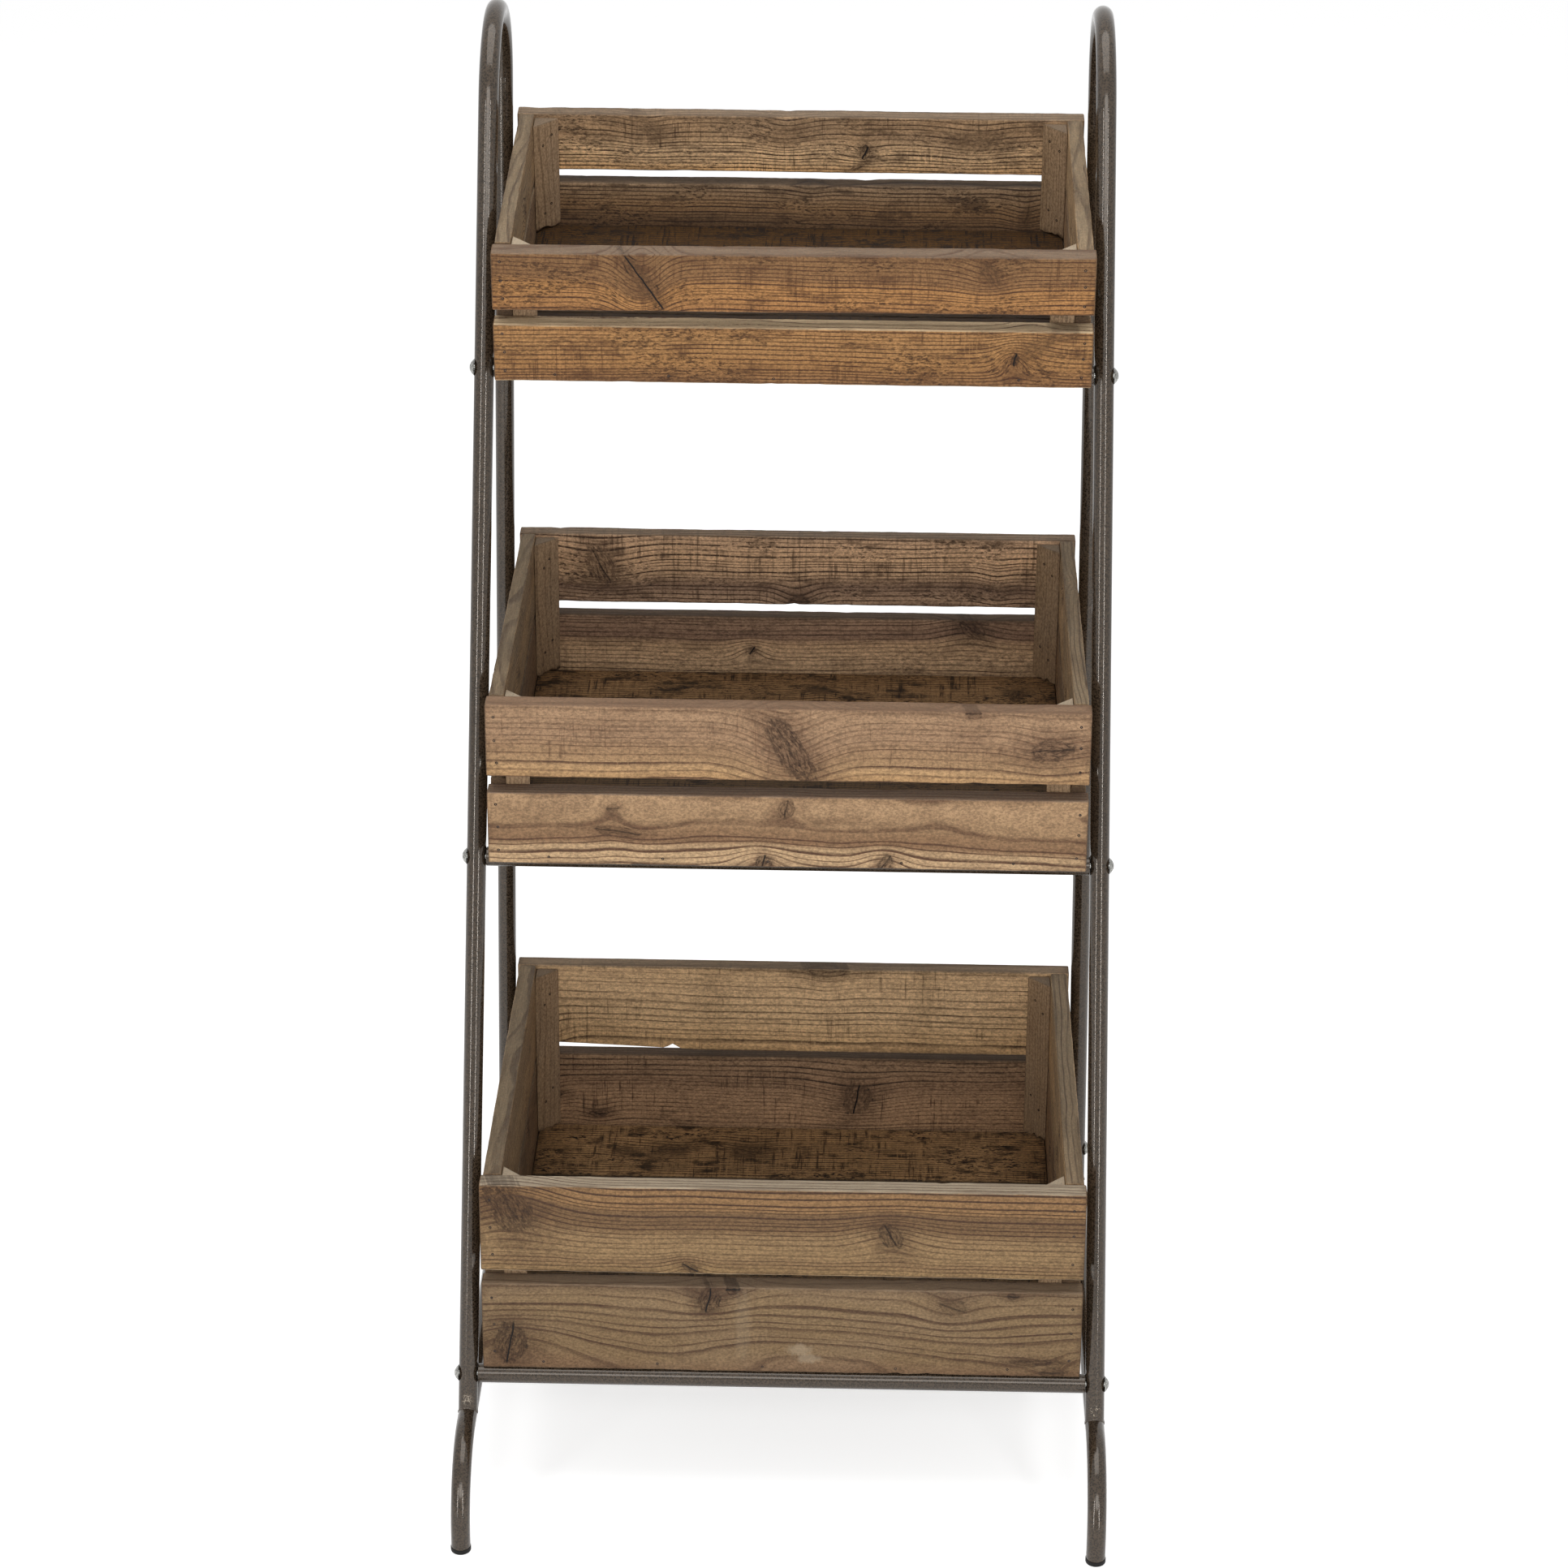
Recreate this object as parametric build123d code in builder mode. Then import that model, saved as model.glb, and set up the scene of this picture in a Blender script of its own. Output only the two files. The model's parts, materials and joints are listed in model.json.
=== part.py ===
from build123d import *
import os
from math import cos, radians, sin, tan

# Three-tier crate display rack: two bent-tube side frames on footed base tubes, six cross
# rails bolted between them, and three open wooden crates that rest on the rails.
# Millimetres, +Z up, +X to the viewer's right, -Y towards the viewer.
# The origin is on the floor, midway between the four feet.

# Frame tube
tube_diameter = 16
tube_wall = 1.5

# Side frames: vertical rear leg, round loop at the top, raked front leg
frame_height = 1198
loop_radius = 72
front_leg_rake = 14.3  # degrees from the vertical
side_lean = 0.95  # degrees that each side frame leans inward
weld_gap = 0.05  # between a leg's coped end and the base tube under it

# Base tubes: one per side, bent down into a front and a rear foot
base_spacing = 526  # between the axes of the two base tubes
base_height = 80  # of the base tube's axis above the floor
base_bend_radius = 66
front_foot_reach = 495  # of the front foot's axis ahead of the rear leg's axis
rear_foot_reach = 80  # of the rear foot's axis behind the rear leg's axis

# Foot caps
cap_diameter = 16.8
cap_thickness = 4.5
cap_edge_round = 1.6
cap_plug_length = 9
cap_plug_clearance = 0.1

# Cross rails: heights of the front rails' axes
top_rail_height = 930
middle_rail_height = 542
bottom_rail_height = 114
rail_end_gap = 0.3
rail_end_round = 0.6

# Threaded plugs in the rail ends, and the bolts through the legs into them
plug_length = 20
plug_clearance = 0.05
plug_recess = 0.5
bolt_diameter = 6
bolt_hole_diameter = 6.6
bolt_reach = 15  # of the shank into the rail
bolt_fit = 0.05  # radial, between the shank and the plug's bore
bolt_head_diameter = 13.5
bolt_head_height = 3.9
bolt_crown_share = 0.2  # sagitta of a head's domed flank, of the head's height
bolt_seat_gap = 0.15  # under a bolt's head, which is square to the rail and not to the leg
socket_flats = 4  # across the hexagon socket's flats
socket_depth = 2.2

# Crates: outer depth, outer height, forward tilt in degrees, reach of the front board
# ahead of the front rail's axis, the gaps between the boards of the front and of the back,
# and the thickness of the side boards
top_crate_depth = 291
top_crate_height = 112
top_crate_tilt = 7.4
top_crate_overhang = 41
top_front_gap = 13
top_back_gap = 11
top_side_thickness = 13
middle_crate_depth = 373
middle_crate_height = 142
middle_crate_tilt = 1.55
middle_crate_overhang = 29
middle_front_gap = 14
middle_back_gap = 12
middle_side_thickness = 12.5
bottom_crate_depth = 416
bottom_crate_height = 175
bottom_crate_tilt = 0
bottom_crate_overhang = 4.5
bottom_front_gap = 12
bottom_back_gap = 6
bottom_side_thickness = 15.5

# Crate boards
crate_side_clearance = 2  # between a front board's end and the side frame
crate_seat_gap = 0.3  # between a crate's underside and the rails
front_board_thickness = 18.5
back_board_thickness = 16
side_board_inset = 1.5  # of a side board's outer face from the front board's end
side_gap = 4
floor_thickness = 12
floor_board_width = 104  # widest board used in a floor
floor_gap = 1.5
floor_fit = 0.4  # between the floor and the walls around it
board_joint = 0.1  # between boards that butt
board_edge_round = 1.3
post_leg = 20  # of the triangular corner post along each wall
post_drop = 3.5  # of a post's top below the crate's rim
post_edge_round = 0.8

# Taper of the old edge under the bottom crate's upper back board
wane_length = 165
wane_rise = 7
wane_sag = 1.2  # of the worn edge from a straight line

# Brads
brad_diameter = 2.4
brad_length = 34
post_brad_length = 24
brad_fit = 0.05  # radial, in its hole
brad_sink = 0.4  # of a brad's head below the wood
brad_overrun = 3  # of a drilled hole, or of the wedge's cut, past the wood's face
board_brad_shares = (0.2, 0.52, 0.82)  # heights on a board, of its height
floor_brad_shares = (-0.4, -0.21, -0.03, 0.19, 0.38)  # places along a crate, of its width
post_side_brad_shares = (0.3, 0.86)  # heights in a crate of the brads into the side boards
post_wall_brad_shares = (0.24, 0.8)  # and of those into the front or back boards
post_brad_share = 0.35  # place of a brad across a post, of its leg

tube_radius = tube_diameter / 2
bore_radius = tube_radius - tube_wall
lean = radians(side_lean)
rake = radians(front_leg_rake)
feet_spread = front_foot_reach + rear_foot_reach
rear_leg_y = feet_spread / 2 - rear_foot_reach
foot_places = {"front": -feet_spread / 2, "rear": feet_spread / 2}
sides = {"left": -1, "right": 1}

# The side frame's bend, measured up the frame from the base tube's axis
loop_start = (frame_height - base_height - tube_radius) / cos(lean) - loop_radius
loop_end_y = -loop_radius * (1 + cos(rake))
loop_end_up = loop_start + loop_radius * sin(rake)
front_leg_foot = loop_end_y - loop_end_up * tan(rake)


def leg_x(height):
    """Distance of a leg's axis from the middle plane at a height above the floor."""
    return base_spacing / 2 - (height - base_height) * tan(lean)


def front_leg_y(height):
    """Place of the front leg's axis at a height above the floor."""
    up = (height - base_height) / cos(lean)
    return rear_leg_y + front_leg_foot + up * tan(rake)


def finish(piece, name):
    """Labels a piece and writes it."""
    piece.part.label = name
    export_step(piece.part, f"parts/{name}.step")


os.makedirs("parts", exist_ok=True)

# One level of the rack per crate
levels = {
    "top": {
        "rail": top_rail_height,
        "depth": top_crate_depth,
        "height": top_crate_height,
        "tilt": radians(top_crate_tilt),
        "overhang": top_crate_overhang,
        "front_gap": top_front_gap,
        "back_gap": top_back_gap,
        "side_thickness": top_side_thickness,
    },
    "middle": {
        "rail": middle_rail_height,
        "depth": middle_crate_depth,
        "height": middle_crate_height,
        "tilt": radians(middle_crate_tilt),
        "overhang": middle_crate_overhang,
        "front_gap": middle_front_gap,
        "back_gap": middle_back_gap,
        "side_thickness": middle_side_thickness,
    },
    "bottom": {
        "rail": bottom_rail_height,
        "depth": bottom_crate_depth,
        "height": bottom_crate_height,
        "tilt": radians(bottom_crate_tilt),
        "overhang": bottom_crate_overhang,
        "front_gap": bottom_front_gap,
        "back_gap": bottom_back_gap,
        "side_thickness": bottom_side_thickness,
    },
}

# Axes of the rails: both rails of a level touch one plane, the underside of its crate
rails = {}
for level_name, level in levels.items():
    front_y = front_leg_y(level["rail"])
    rise = (rear_leg_y - front_y) * tan(level["tilt"])
    rails[level_name, "front"] = (front_y, level["rail"])
    rails[level_name, "rear"] = (rear_leg_y, level["rail"] + rise)


# Base tubes

base_core = {}
for side, sign in sides.items():
    base_plane = Plane(origin=(sign * base_spacing / 2, 0, 0), x_dir=(0, 1, 0), z_dir=(1, 0, 0))
    half = feet_spread / 2
    bend_height = base_height - base_bend_radius
    with BuildLine(base_plane) as base_path:
        front_foot = Line((-half, cap_thickness), (-half, bend_height))
        front_bend = JernArc(front_foot @ 1, front_foot % 1, base_bend_radius, -90)
        run = Line(front_bend @ 1, (half - base_bend_radius, base_height))
        rear_bend = JernArc(run @ 1, run % 1, base_bend_radius, -90)
        Line(rear_bend @ 1, (half, cap_thickness))
    foot_plane = Plane(origin=base_path.line @ 0, z_dir=base_path.line % 0)
    with BuildPart() as base_tube:
        with BuildSketch(foot_plane):
            Circle(tube_radius)
            Circle(bore_radius, mode=Mode.SUBTRACT)
        sweep(path=base_path.line)
    finish(base_tube, f"base_tube_{side}")
    with BuildPart() as core:
        with BuildSketch(foot_plane):
            Circle(tube_radius + weld_gap)
        sweep(path=base_path.line)
    base_core[side] = core.part

# Foot caps: a plug inside the tube's end and a rounded flange under it

for side, sign in sides.items():
    for place, foot_y in foot_places.items():
        with BuildPart() as cap:
            with BuildSketch(Plane(origin=(sign * base_spacing / 2, foot_y, 0))):
                Circle(cap_diameter / 2)
            extrude(amount=cap_thickness)
            fillet(cap.edges().sort_by(Axis.Z)[0], radius=cap_edge_round)
            with BuildSketch(Plane(origin=(sign * base_spacing / 2, foot_y, cap_thickness))):
                Circle(bore_radius - cap_plug_clearance)
            extrude(amount=cap_plug_length)
        finish(cap, f"foot_cap_{place}_{side}")

# Side frames: one tube from the rear leg over the loop and down the front leg

for side, sign in sides.items():
    frame_plane = Plane(
        origin=(sign * base_spacing / 2, rear_leg_y, base_height),
        x_dir=(0, 1, 0),
        z_dir=(cos(lean), 0, sign * sin(lean)),
    )
    with BuildLine(frame_plane) as frame_path:
        rear_leg = Line((0, 0), (0, loop_start))
        loop = JernArc(rear_leg @ 1, rear_leg % 1, loop_radius, 180 - front_leg_rake)
        Line(loop @ 1, (front_leg_foot, 0))
    with BuildPart() as side_frame:
        with BuildSketch(Plane(origin=frame_path.line @ 0, z_dir=frame_path.line % 0)):
            Circle(tube_radius)
            Circle(bore_radius, mode=Mode.SUBTRACT)
        sweep(path=frame_path.line)
        add(base_core[side], mode=Mode.SUBTRACT)
        for rail_y, rail_z in rails.values():
            with Locations((sign * leg_x(rail_z), rail_y, rail_z)):
                Cylinder(
                    bolt_hole_diameter / 2,
                    2 * tube_diameter,
                    rotation=(0, 90, 0),
                    mode=Mode.SUBTRACT,
                )
    finish(side_frame, f"side_frame_{side}")


# Cross rails

def rail_half_length(height):
    """From the middle plane to a rail's end, just short of the leg."""
    return leg_x(height) - tube_radius / cos(lean) - rail_end_gap


for (level_name, place), (rail_y, rail_z) in rails.items():
    reach = rail_half_length(rail_z)
    with BuildPart() as rail:
        with BuildSketch(Plane.YZ.offset(-reach)):
            with Locations((rail_y, rail_z)):
                Circle(tube_radius)
        extrude(amount=2 * reach)
        fillet(rail.edges().filter_by(GeomType.CIRCLE), radius=rail_end_round)
        with BuildSketch(Plane.YZ.offset(-reach)):
            with Locations((rail_y, rail_z)):
                Circle(bore_radius)
        extrude(amount=2 * reach, mode=Mode.SUBTRACT)
    finish(rail, f"rail_{level_name}_{place}")


# Threaded plugs and bolts, the same at every rail end

def outward_plane(sign, rail_y, rail_z, x):
    """Plane across a rail's axis, facing away from the middle of the rack."""
    return Plane(origin=(sign * x, rail_y, rail_z), x_dir=(0, sign, 0), z_dir=(sign, 0, 0))


with BuildPart() as plug:
    Cylinder(
        bore_radius - plug_clearance,
        plug_length,
        align=(Align.CENTER, Align.CENTER, Align.MAX),
    )
    Hole(bolt_diameter / 2 + bolt_fit)

with BuildPart() as rail_plugs:
    for rail_y, rail_z in rails.values():
        plug_face = rail_half_length(rail_z) - plug_recess
        with Locations(*[outward_plane(s, rail_y, rail_z, plug_face) for s in sides.values()]):
            add(plug.part)
finish(rail_plugs, "rail_end_plugs")

shank_length = tube_diameter + rail_end_gap + bolt_reach
with BuildPart() as bolt:
    with BuildSketch(Plane.XZ):
        with BuildLine():
            Polyline(
                (0, bolt_head_height),
                (0, -shank_length),
                (bolt_diameter / 2, -shank_length),
                (bolt_diameter / 2, 0),
                (bolt_head_diameter / 2, 0),
            )
            rim = (bolt_head_diameter / 2, 0)
            crown = (0, bolt_head_height)
            SagittaArc(rim, crown, -bolt_crown_share * bolt_head_height)
        make_face()
    revolve(axis=Axis.Z)
    with BuildSketch(Plane.XY.offset(bolt_head_height)):
        RegularPolygon(socket_flats / 2, 6, major_radius=False)
    extrude(amount=-socket_depth, mode=Mode.SUBTRACT)

with BuildPart() as frame_bolts:
    for rail_y, rail_z in rails.values():
        seat = leg_x(rail_z) + tube_radius / cos(lean) + bolt_seat_gap
        with Locations(*[outward_plane(s, rail_y, rail_z, seat) for s in sides.values()]):
            add(bolt.part)
finish(frame_bolts, "frame_bolts")


# Crates. Each is drawn level in its own plane, whose origin is above the front rail's axis
# on the crate's underside, and the plane leans by the crate's tilt.

def floor_rows(crate):
    """Start and depth of each floor board, front to back."""
    start = crate["front"] + front_board_thickness + floor_fit
    room = crate["depth"] - front_board_thickness - back_board_thickness - 2 * floor_fit
    count = int(room // floor_board_width) + 1
    deep = (room - (count - 1) * floor_gap) / count
    return [(start + i * (deep + floor_gap), deep) for i in range(count)]


def long_brad_places(crate):
    """Planes on the outside of the walls where brads go in, facing out of the wood."""
    half = crate["half"]
    board_x = half - side_board_inset - crate["side_thickness"] / 2
    walls = (
        (crate["front"], (0, -1, 0), crate["front_gap"]),
        (crate["back"], (0, 1, 0), crate["back_gap"]),
    )
    places = []
    for wall_y, outward, gap in walls:
        tall = (crate["height"] - gap) / 2
        points = [
            (x, wall_y, start + share * tall)
            for start in (0, tall + gap)
            for share in board_brad_shares
            for x in (-board_x, board_x)
        ]
        points += [(2 * share * half, wall_y, floor_thickness / 2) for share in floor_brad_shares]
        places += [Plane(origin=point, x_dir=(1, 0, 0), z_dir=outward) for point in points]
    for sign in sides.values():
        for start, deep in floor_rows(crate):
            point = (sign * (half - side_board_inset), start + deep / 2, floor_thickness / 2)
            places.append(Plane(origin=point, x_dir=(0, 1, 0), z_dir=(sign, 0, 0)))
    return places


def short_brad_places(crate):
    """Planes on the slanted faces of the posts where brads go in, facing out of the wood."""
    near, far = post_brad_share * post_leg, (1 - post_brad_share) * post_leg
    wall_x = crate["half"] - side_board_inset - crate["side_thickness"]
    walls = (
        (crate["front"] + front_board_thickness, 1),
        (crate["back"] - back_board_thickness, -1),
    )
    places = []
    for sign in sides.values():
        for wall_y, inward in walls:
            for share in post_side_brad_shares:
                point = (sign * (wall_x - far), wall_y + inward * near, share * crate["height"])
                places.append(Plane(origin=point, x_dir=(0, 1, 0), z_dir=(-sign, 0, 0)))
            for share in post_wall_brad_shares:
                point = (sign * (wall_x - near), wall_y + inward * far, share * crate["height"])
                places.append(Plane(origin=point, x_dir=(1, 0, 0), z_dir=(0, inward, 0)))
    return places


def brad_rods(crate, radius, lift, extra):
    """Every brad of a crate, or its hole: rods whose tops are lifted out of the wood."""
    groups = (
        (long_brad_places(crate), brad_length),
        (short_brad_places(crate), post_brad_length),
    )
    with BuildPart() as rods:
        for places, length in groups:
            with Locations(*[place.offset(lift) for place in places]):
                Cylinder(radius, length + extra, align=(Align.CENTER, Align.CENTER, Align.MAX))
    return rods.part


def boards(crate, blocks):
    """Boards with worn edges and brad holes, each from its lowest corner and its size."""
    with BuildPart(crate["plane"]) as group:
        for corner, size in blocks:
            with Locations(corner):
                Box(*size, align=(Align.MIN, Align.MIN, Align.MIN))
        fillet(group.edges(), radius=board_edge_round)
        add(crate["holes"], mode=Mode.SUBTRACT)
    return group


def cut_wane(piece, crate, corner, thick):
    """A board without the wedge where its lower edge rises towards its left end."""
    x, y, z = corner
    face = Plane(origin=(x, y, z), x_dir=(1, 0, 0), z_dir=(0, -1, 0)).offset(brad_overrun)
    with BuildPart() as cut:
        add(piece.part)
        with BuildSketch(Plane(crate["plane"].location * face.location)):
            with BuildLine():
                Polyline(
                    (wane_length, 0),
                    (wane_length, -brad_overrun),
                    (-brad_overrun, -brad_overrun),
                    (-brad_overrun, wane_rise),
                    (0, wane_rise),
                )
                SagittaArc((0, wane_rise), (wane_length, 0), wane_sag)
            make_face()
        extrude(amount=-(thick + 2 * brad_overrun), mode=Mode.SUBTRACT)
    return cut


def corner_posts(crate):
    """Four three-cornered posts that stand on the floor, one in each corner."""
    wall_x = crate["half"] - side_board_inset - crate["side_thickness"] - board_joint
    walls = (
        (crate["front"] + front_board_thickness + board_joint, post_leg),
        (crate["back"] - back_board_thickness - board_joint, -post_leg),
    )
    low = floor_thickness + board_joint
    with BuildPart(crate["plane"]) as posts:
        for sign in sides.values():
            for wall_y, along in walls:
                with BuildSketch(crate["plane"].offset(low)):
                    with BuildLine():
                        Polyline(
                            (sign * wall_x, wall_y),
                            (sign * (wall_x - post_leg), wall_y),
                            (sign * wall_x, wall_y + along),
                            close=True,
                        )
                    make_face()
                    fillet(vertices(), radius=post_edge_round)
                extrude(amount=crate["height"] - post_drop - low)
        add(crate["holes"], mode=Mode.SUBTRACT)
    return posts


for level_name, crate in levels.items():
    rail_y, rail_z = rails[level_name, "front"]
    rim_z = rail_z + tube_radius + crate_seat_gap + crate["height"]
    half = leg_x(rim_z) - tube_radius / cos(lean) - crate_side_clearance
    crate["half"] = half
    crate["front"] = -crate["overhang"]
    crate["back"] = crate["depth"] - crate["overhang"]
    rail_plane = Plane(
        origin=(0, rail_y, rail_z),
        x_dir=(1, 0, 0),
        z_dir=(0, -sin(crate["tilt"]), cos(crate["tilt"])),
    )
    crate["plane"] = rail_plane.offset(tube_radius + crate_seat_gap)
    crate["holes"] = brad_rods(
        crate, brad_diameter / 2 + brad_fit, brad_overrun, brad_overrun + brad_fit
    )
    name = f"crate_{level_name}"

    walls = (
        ("front", crate["front"], front_board_thickness, crate["front_gap"]),
        ("back", crate["back"] - back_board_thickness, back_board_thickness, crate["back_gap"]),
    )
    for wall, wall_y, thick, gap in walls:
        tall = (crate["height"] - gap) / 2
        for row, low in (("lower", 0), ("upper", tall + gap)):
            corner = (-half, wall_y, low)
            piece = boards(crate, [(corner, (2 * half, thick, tall))])
            if (level_name, wall, row) == ("bottom", "back", "upper"):
                piece = cut_wane(piece, crate, corner, thick)
            finish(piece, f"{name}_{wall}_{row}")

    run_start = crate["front"] + front_board_thickness + board_joint
    run_length = crate["back"] - back_board_thickness - board_joint - run_start
    tall = (crate["height"] - side_gap) / 2
    side_thick = crate["side_thickness"]
    for side, sign in sides.items():
        outer = half - side_board_inset
        low_x = -outer if sign < 0 else outer - side_thick
        for row, low in (("lower", 0), ("upper", tall + side_gap)):
            block = ((low_x, run_start, low), (side_thick, run_length, tall))
            finish(boards(crate, [block]), f"{name}_{side}_{row}")

    floor_reach = half - side_board_inset - side_thick - floor_fit
    rows = [
        ((-floor_reach, start, 0), (2 * floor_reach, deep, floor_thickness))
        for start, deep in floor_rows(crate)
    ]
    finish(boards(crate, rows), f"{name}_floor")
    finish(corner_posts(crate), f"{name}_corner_posts")
    with BuildPart(crate["plane"]) as brads:
        add(brad_rods(crate, brad_diameter / 2, -brad_sink, -brad_sink))
    finish(brads, f"{name}_brads")
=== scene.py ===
import itertools
import json
import math

import bpy
import numpy as np
from mathutils import Matrix, Vector
from mathutils.bvhtree import BVHTree


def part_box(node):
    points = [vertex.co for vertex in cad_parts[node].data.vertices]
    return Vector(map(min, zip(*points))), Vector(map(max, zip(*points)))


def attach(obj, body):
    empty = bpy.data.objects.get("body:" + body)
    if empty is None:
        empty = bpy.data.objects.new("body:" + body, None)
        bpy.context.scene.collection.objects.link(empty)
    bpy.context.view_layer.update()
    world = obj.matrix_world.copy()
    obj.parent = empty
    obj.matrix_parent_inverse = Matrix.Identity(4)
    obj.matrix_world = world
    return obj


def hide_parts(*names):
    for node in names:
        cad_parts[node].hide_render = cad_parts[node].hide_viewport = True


# Dresses the crate display rack. Lengths are in metres unless a name or a comment says mm.
# Inside the wood's node groups every place is in mm on its own board: along, through, across.

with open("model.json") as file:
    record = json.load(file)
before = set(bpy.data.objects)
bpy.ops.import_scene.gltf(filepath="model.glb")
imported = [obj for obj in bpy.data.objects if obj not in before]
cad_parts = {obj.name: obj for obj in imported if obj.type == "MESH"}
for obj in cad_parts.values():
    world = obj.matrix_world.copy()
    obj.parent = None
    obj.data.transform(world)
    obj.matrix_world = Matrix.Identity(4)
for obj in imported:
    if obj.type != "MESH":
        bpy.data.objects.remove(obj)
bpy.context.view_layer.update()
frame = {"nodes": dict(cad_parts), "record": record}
scene = bpy.context.scene
MM = 0.001

# ---- Wood layout, as in the part's source ----

FRONT_THICK, BACK_THICK = 0.0185, 0.016
SIDE_INSET, SIDE_GAP = 0.0015, 0.004
FLOOR_THICK, FLOOR_WIDEST, FLOOR_GAP, FLOOR_FIT = 0.012, 0.104, 0.0015, 0.0004
JOINT = 0.0001
POST_LEG, POST_DROP = 0.020, 0.0035
TUBE_RADIUS, SEAT_GAP = 0.008, 0.0003
WANE_LENGTH, WANE_RISE = 0.165, 0.007
CRATES = {
    "top": dict(depth=0.291, height=0.112, overhang=0.041, gaps=(0.013, 0.011), side=0.013),
    "middle": dict(depth=0.373, height=0.142, overhang=0.029, gaps=(0.014, 0.012), side=0.0125),
    "bottom": dict(depth=0.416, height=0.175, overhang=0.0045, gaps=(0.012, 0.006), side=0.0155),
}
BOARD_BRADS = (0.2, 0.52, 0.82)
FLOOR_BRADS = (-0.4, -0.21, -0.03, 0.19, 0.38)
POST_SIDE_BRADS = (0.3, 0.86)
POST_WALL_BRADS = (0.24, 0.8)
POST_BRAD_SHARE = 0.35


def rail_axis(name):
    """A rail's axis, as its place from front to back and its height."""
    low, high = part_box(name)
    return (low.y + high.y) / 2, (low.z + high.z) / 2


for level, crate in CRATES.items():
    (front_y, front_z), (rear_y, rear_z) = (rail_axis(f"rail_{level}_{p}") for p in ("front", "rear"))
    tilt = math.atan2(rear_z - front_z, rear_y - front_y)
    up = Vector((0, -math.sin(tilt), math.cos(tilt)))
    origin = Vector((0, front_y, front_z)) + up * (TUBE_RADIUS + SEAT_GAP)
    crate["matrix"] = Matrix.Translation(origin) @ Matrix.Rotation(tilt, 4, "X")
    crate["half"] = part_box(f"crate_{level}_front_lower")[1].x
    crate["front"] = -crate["overhang"]
    crate["back"] = crate["depth"] - crate["overhang"]


# ---- Node helpers ----

def linear(*screen):
    """A colour written as 0-255 screen values, as a linear colour."""
    shares = [value / 255 for value in screen]
    return (*(v / 12.92 if v <= 0.04045 else ((v + 0.055) / 1.055) ** 2.4 for v in shares), 1.0)


class Wire:
    """A value in a node tree. Arithmetic on it adds the math nodes."""

    def __init__(self, net, socket):
        self.net, self.socket = net, socket

    __add__, __sub__, __mul__, __truediv__, __abs__ = (
        lambda *values, operation=operation: values[0].net.math(operation, *values)
        for operation in ("ADD", "SUBTRACT", "MULTIPLY", "DIVIDE", "ABSOLUTE")
    )

    def step(self, low, high, out_low=0.0, out_high=1.0):
        """A smooth rise from the one value to the other."""
        made = self.net.node("MapRange", interpolation_type="SMOOTHSTEP")
        return self.net.out(self.net.fill(made, self, low, high, out_low, out_high))

    def fall(self, low, high):
        return self.step(low, high, 1.0, 0.0)


def mad(value, factor, addend, clamp=False):
    """value * factor + addend, in one node."""
    return value.net.math("MULTIPLY_ADD", value, factor, addend, clamp=clamp)


class Net:
    """Adds nodes to a tree. Arguments are wires or plain values, and results are wires."""

    def __init__(self, tree):
        self.tree = tree

    def node(self, kind, **settings):
        made = self.tree.nodes.new("ShaderNode" + kind)
        for key, value in settings.items():
            setattr(made, key, value)
        return made

    def out(self, made, key=0):
        return Wire(self, made.outputs[key])

    def put(self, socket, value):
        if isinstance(value, Wire):
            self.tree.links.new(value.socket, socket)
        else:
            socket.default_value = value

    def fill(self, made, *values):
        for socket, value in zip(made.inputs, values):
            self.put(socket, value)
        return made

    def give(self, sockets, **values):
        """Fills sockets by name. An underscore stands for a space."""
        for name, value in values.items():
            self.put(sockets[name.replace("_", " ")], value)

    def math(self, operation, *values, clamp=False):
        return self.out(self.fill(self.node("Math", operation=operation, use_clamp=clamp), *values))

    def vector(self, operation, *values):
        made = self.fill(self.node("VectorMath", operation=operation), *values)
        return self.out(made, "Value" if operation == "LENGTH" else "Vector")

    def split(self, vector):
        return [Wire(self, s) for s in self.fill(self.node("SeparateXYZ"), vector).outputs]

    def join(self, *values):
        return self.out(self.fill(self.node("CombineXYZ"), *values))

    def noise(self, vector, scale, detail=2.0, rough=0.5):
        """Noise from 0 to 1. The scale is one number, or one for each axis."""
        scale = scale if isinstance(scale, tuple) else (scale,) * 3
        made = self.node("TexNoise", normalize=True)
        self.give(made.inputs, Vector=self.vector("MULTIPLY", vector, scale), Scale=1.0, Detail=detail,
                  Roughness=rough)
        return self.out(made)

    def mix(self, share, first, second, blend="MIX"):
        made = self.node("Mix", data_type="RGBA", blend_type=blend)
        for i, value in ((0, share), (6, first), (7, second)):
            self.put(made.inputs[i], value)
        return self.out(made, 2)

    def bump(self, height, distance, strength):
        made = self.node("Bump")
        self.give(made.inputs, Height=height, Distance=distance, Strength=strength)
        return self.out(made)

    def group(self, tree, **values):
        made = self.node("Group", node_tree=tree)
        self.give(made.inputs, **values)
        return {output.name: Wire(self, output) for output in made.outputs}

    def attribute(self, label, output):
        return self.out(self.node("Attribute", attribute_name=label), output)

    def place_mm(self):
        return self.vector("MULTIPLY", self.out(self.node("TexCoord"), "Object"), (1 / MM,) * 3)


def new_group(name, inputs, outputs):
    """A node group: its net, its inputs as wires and its output sockets. A name may have its kind behind it."""
    tree = bpy.data.node_groups.new(name, "ShaderNodeTree")
    for way, labels in (("INPUT", inputs), ("OUTPUT", outputs)):
        for label in labels.split():
            label, _, kind = label.partition(":")
            tree.interface.new_socket(label, in_out=way, socket_type="NodeSocket" + (kind or "Float"))
    net = Net(tree)
    given = [Wire(net, s) for s in tree.nodes.new("NodeGroupInput").outputs if s.name]
    return net, given, tree.nodes.new("NodeGroupOutput").inputs


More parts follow.
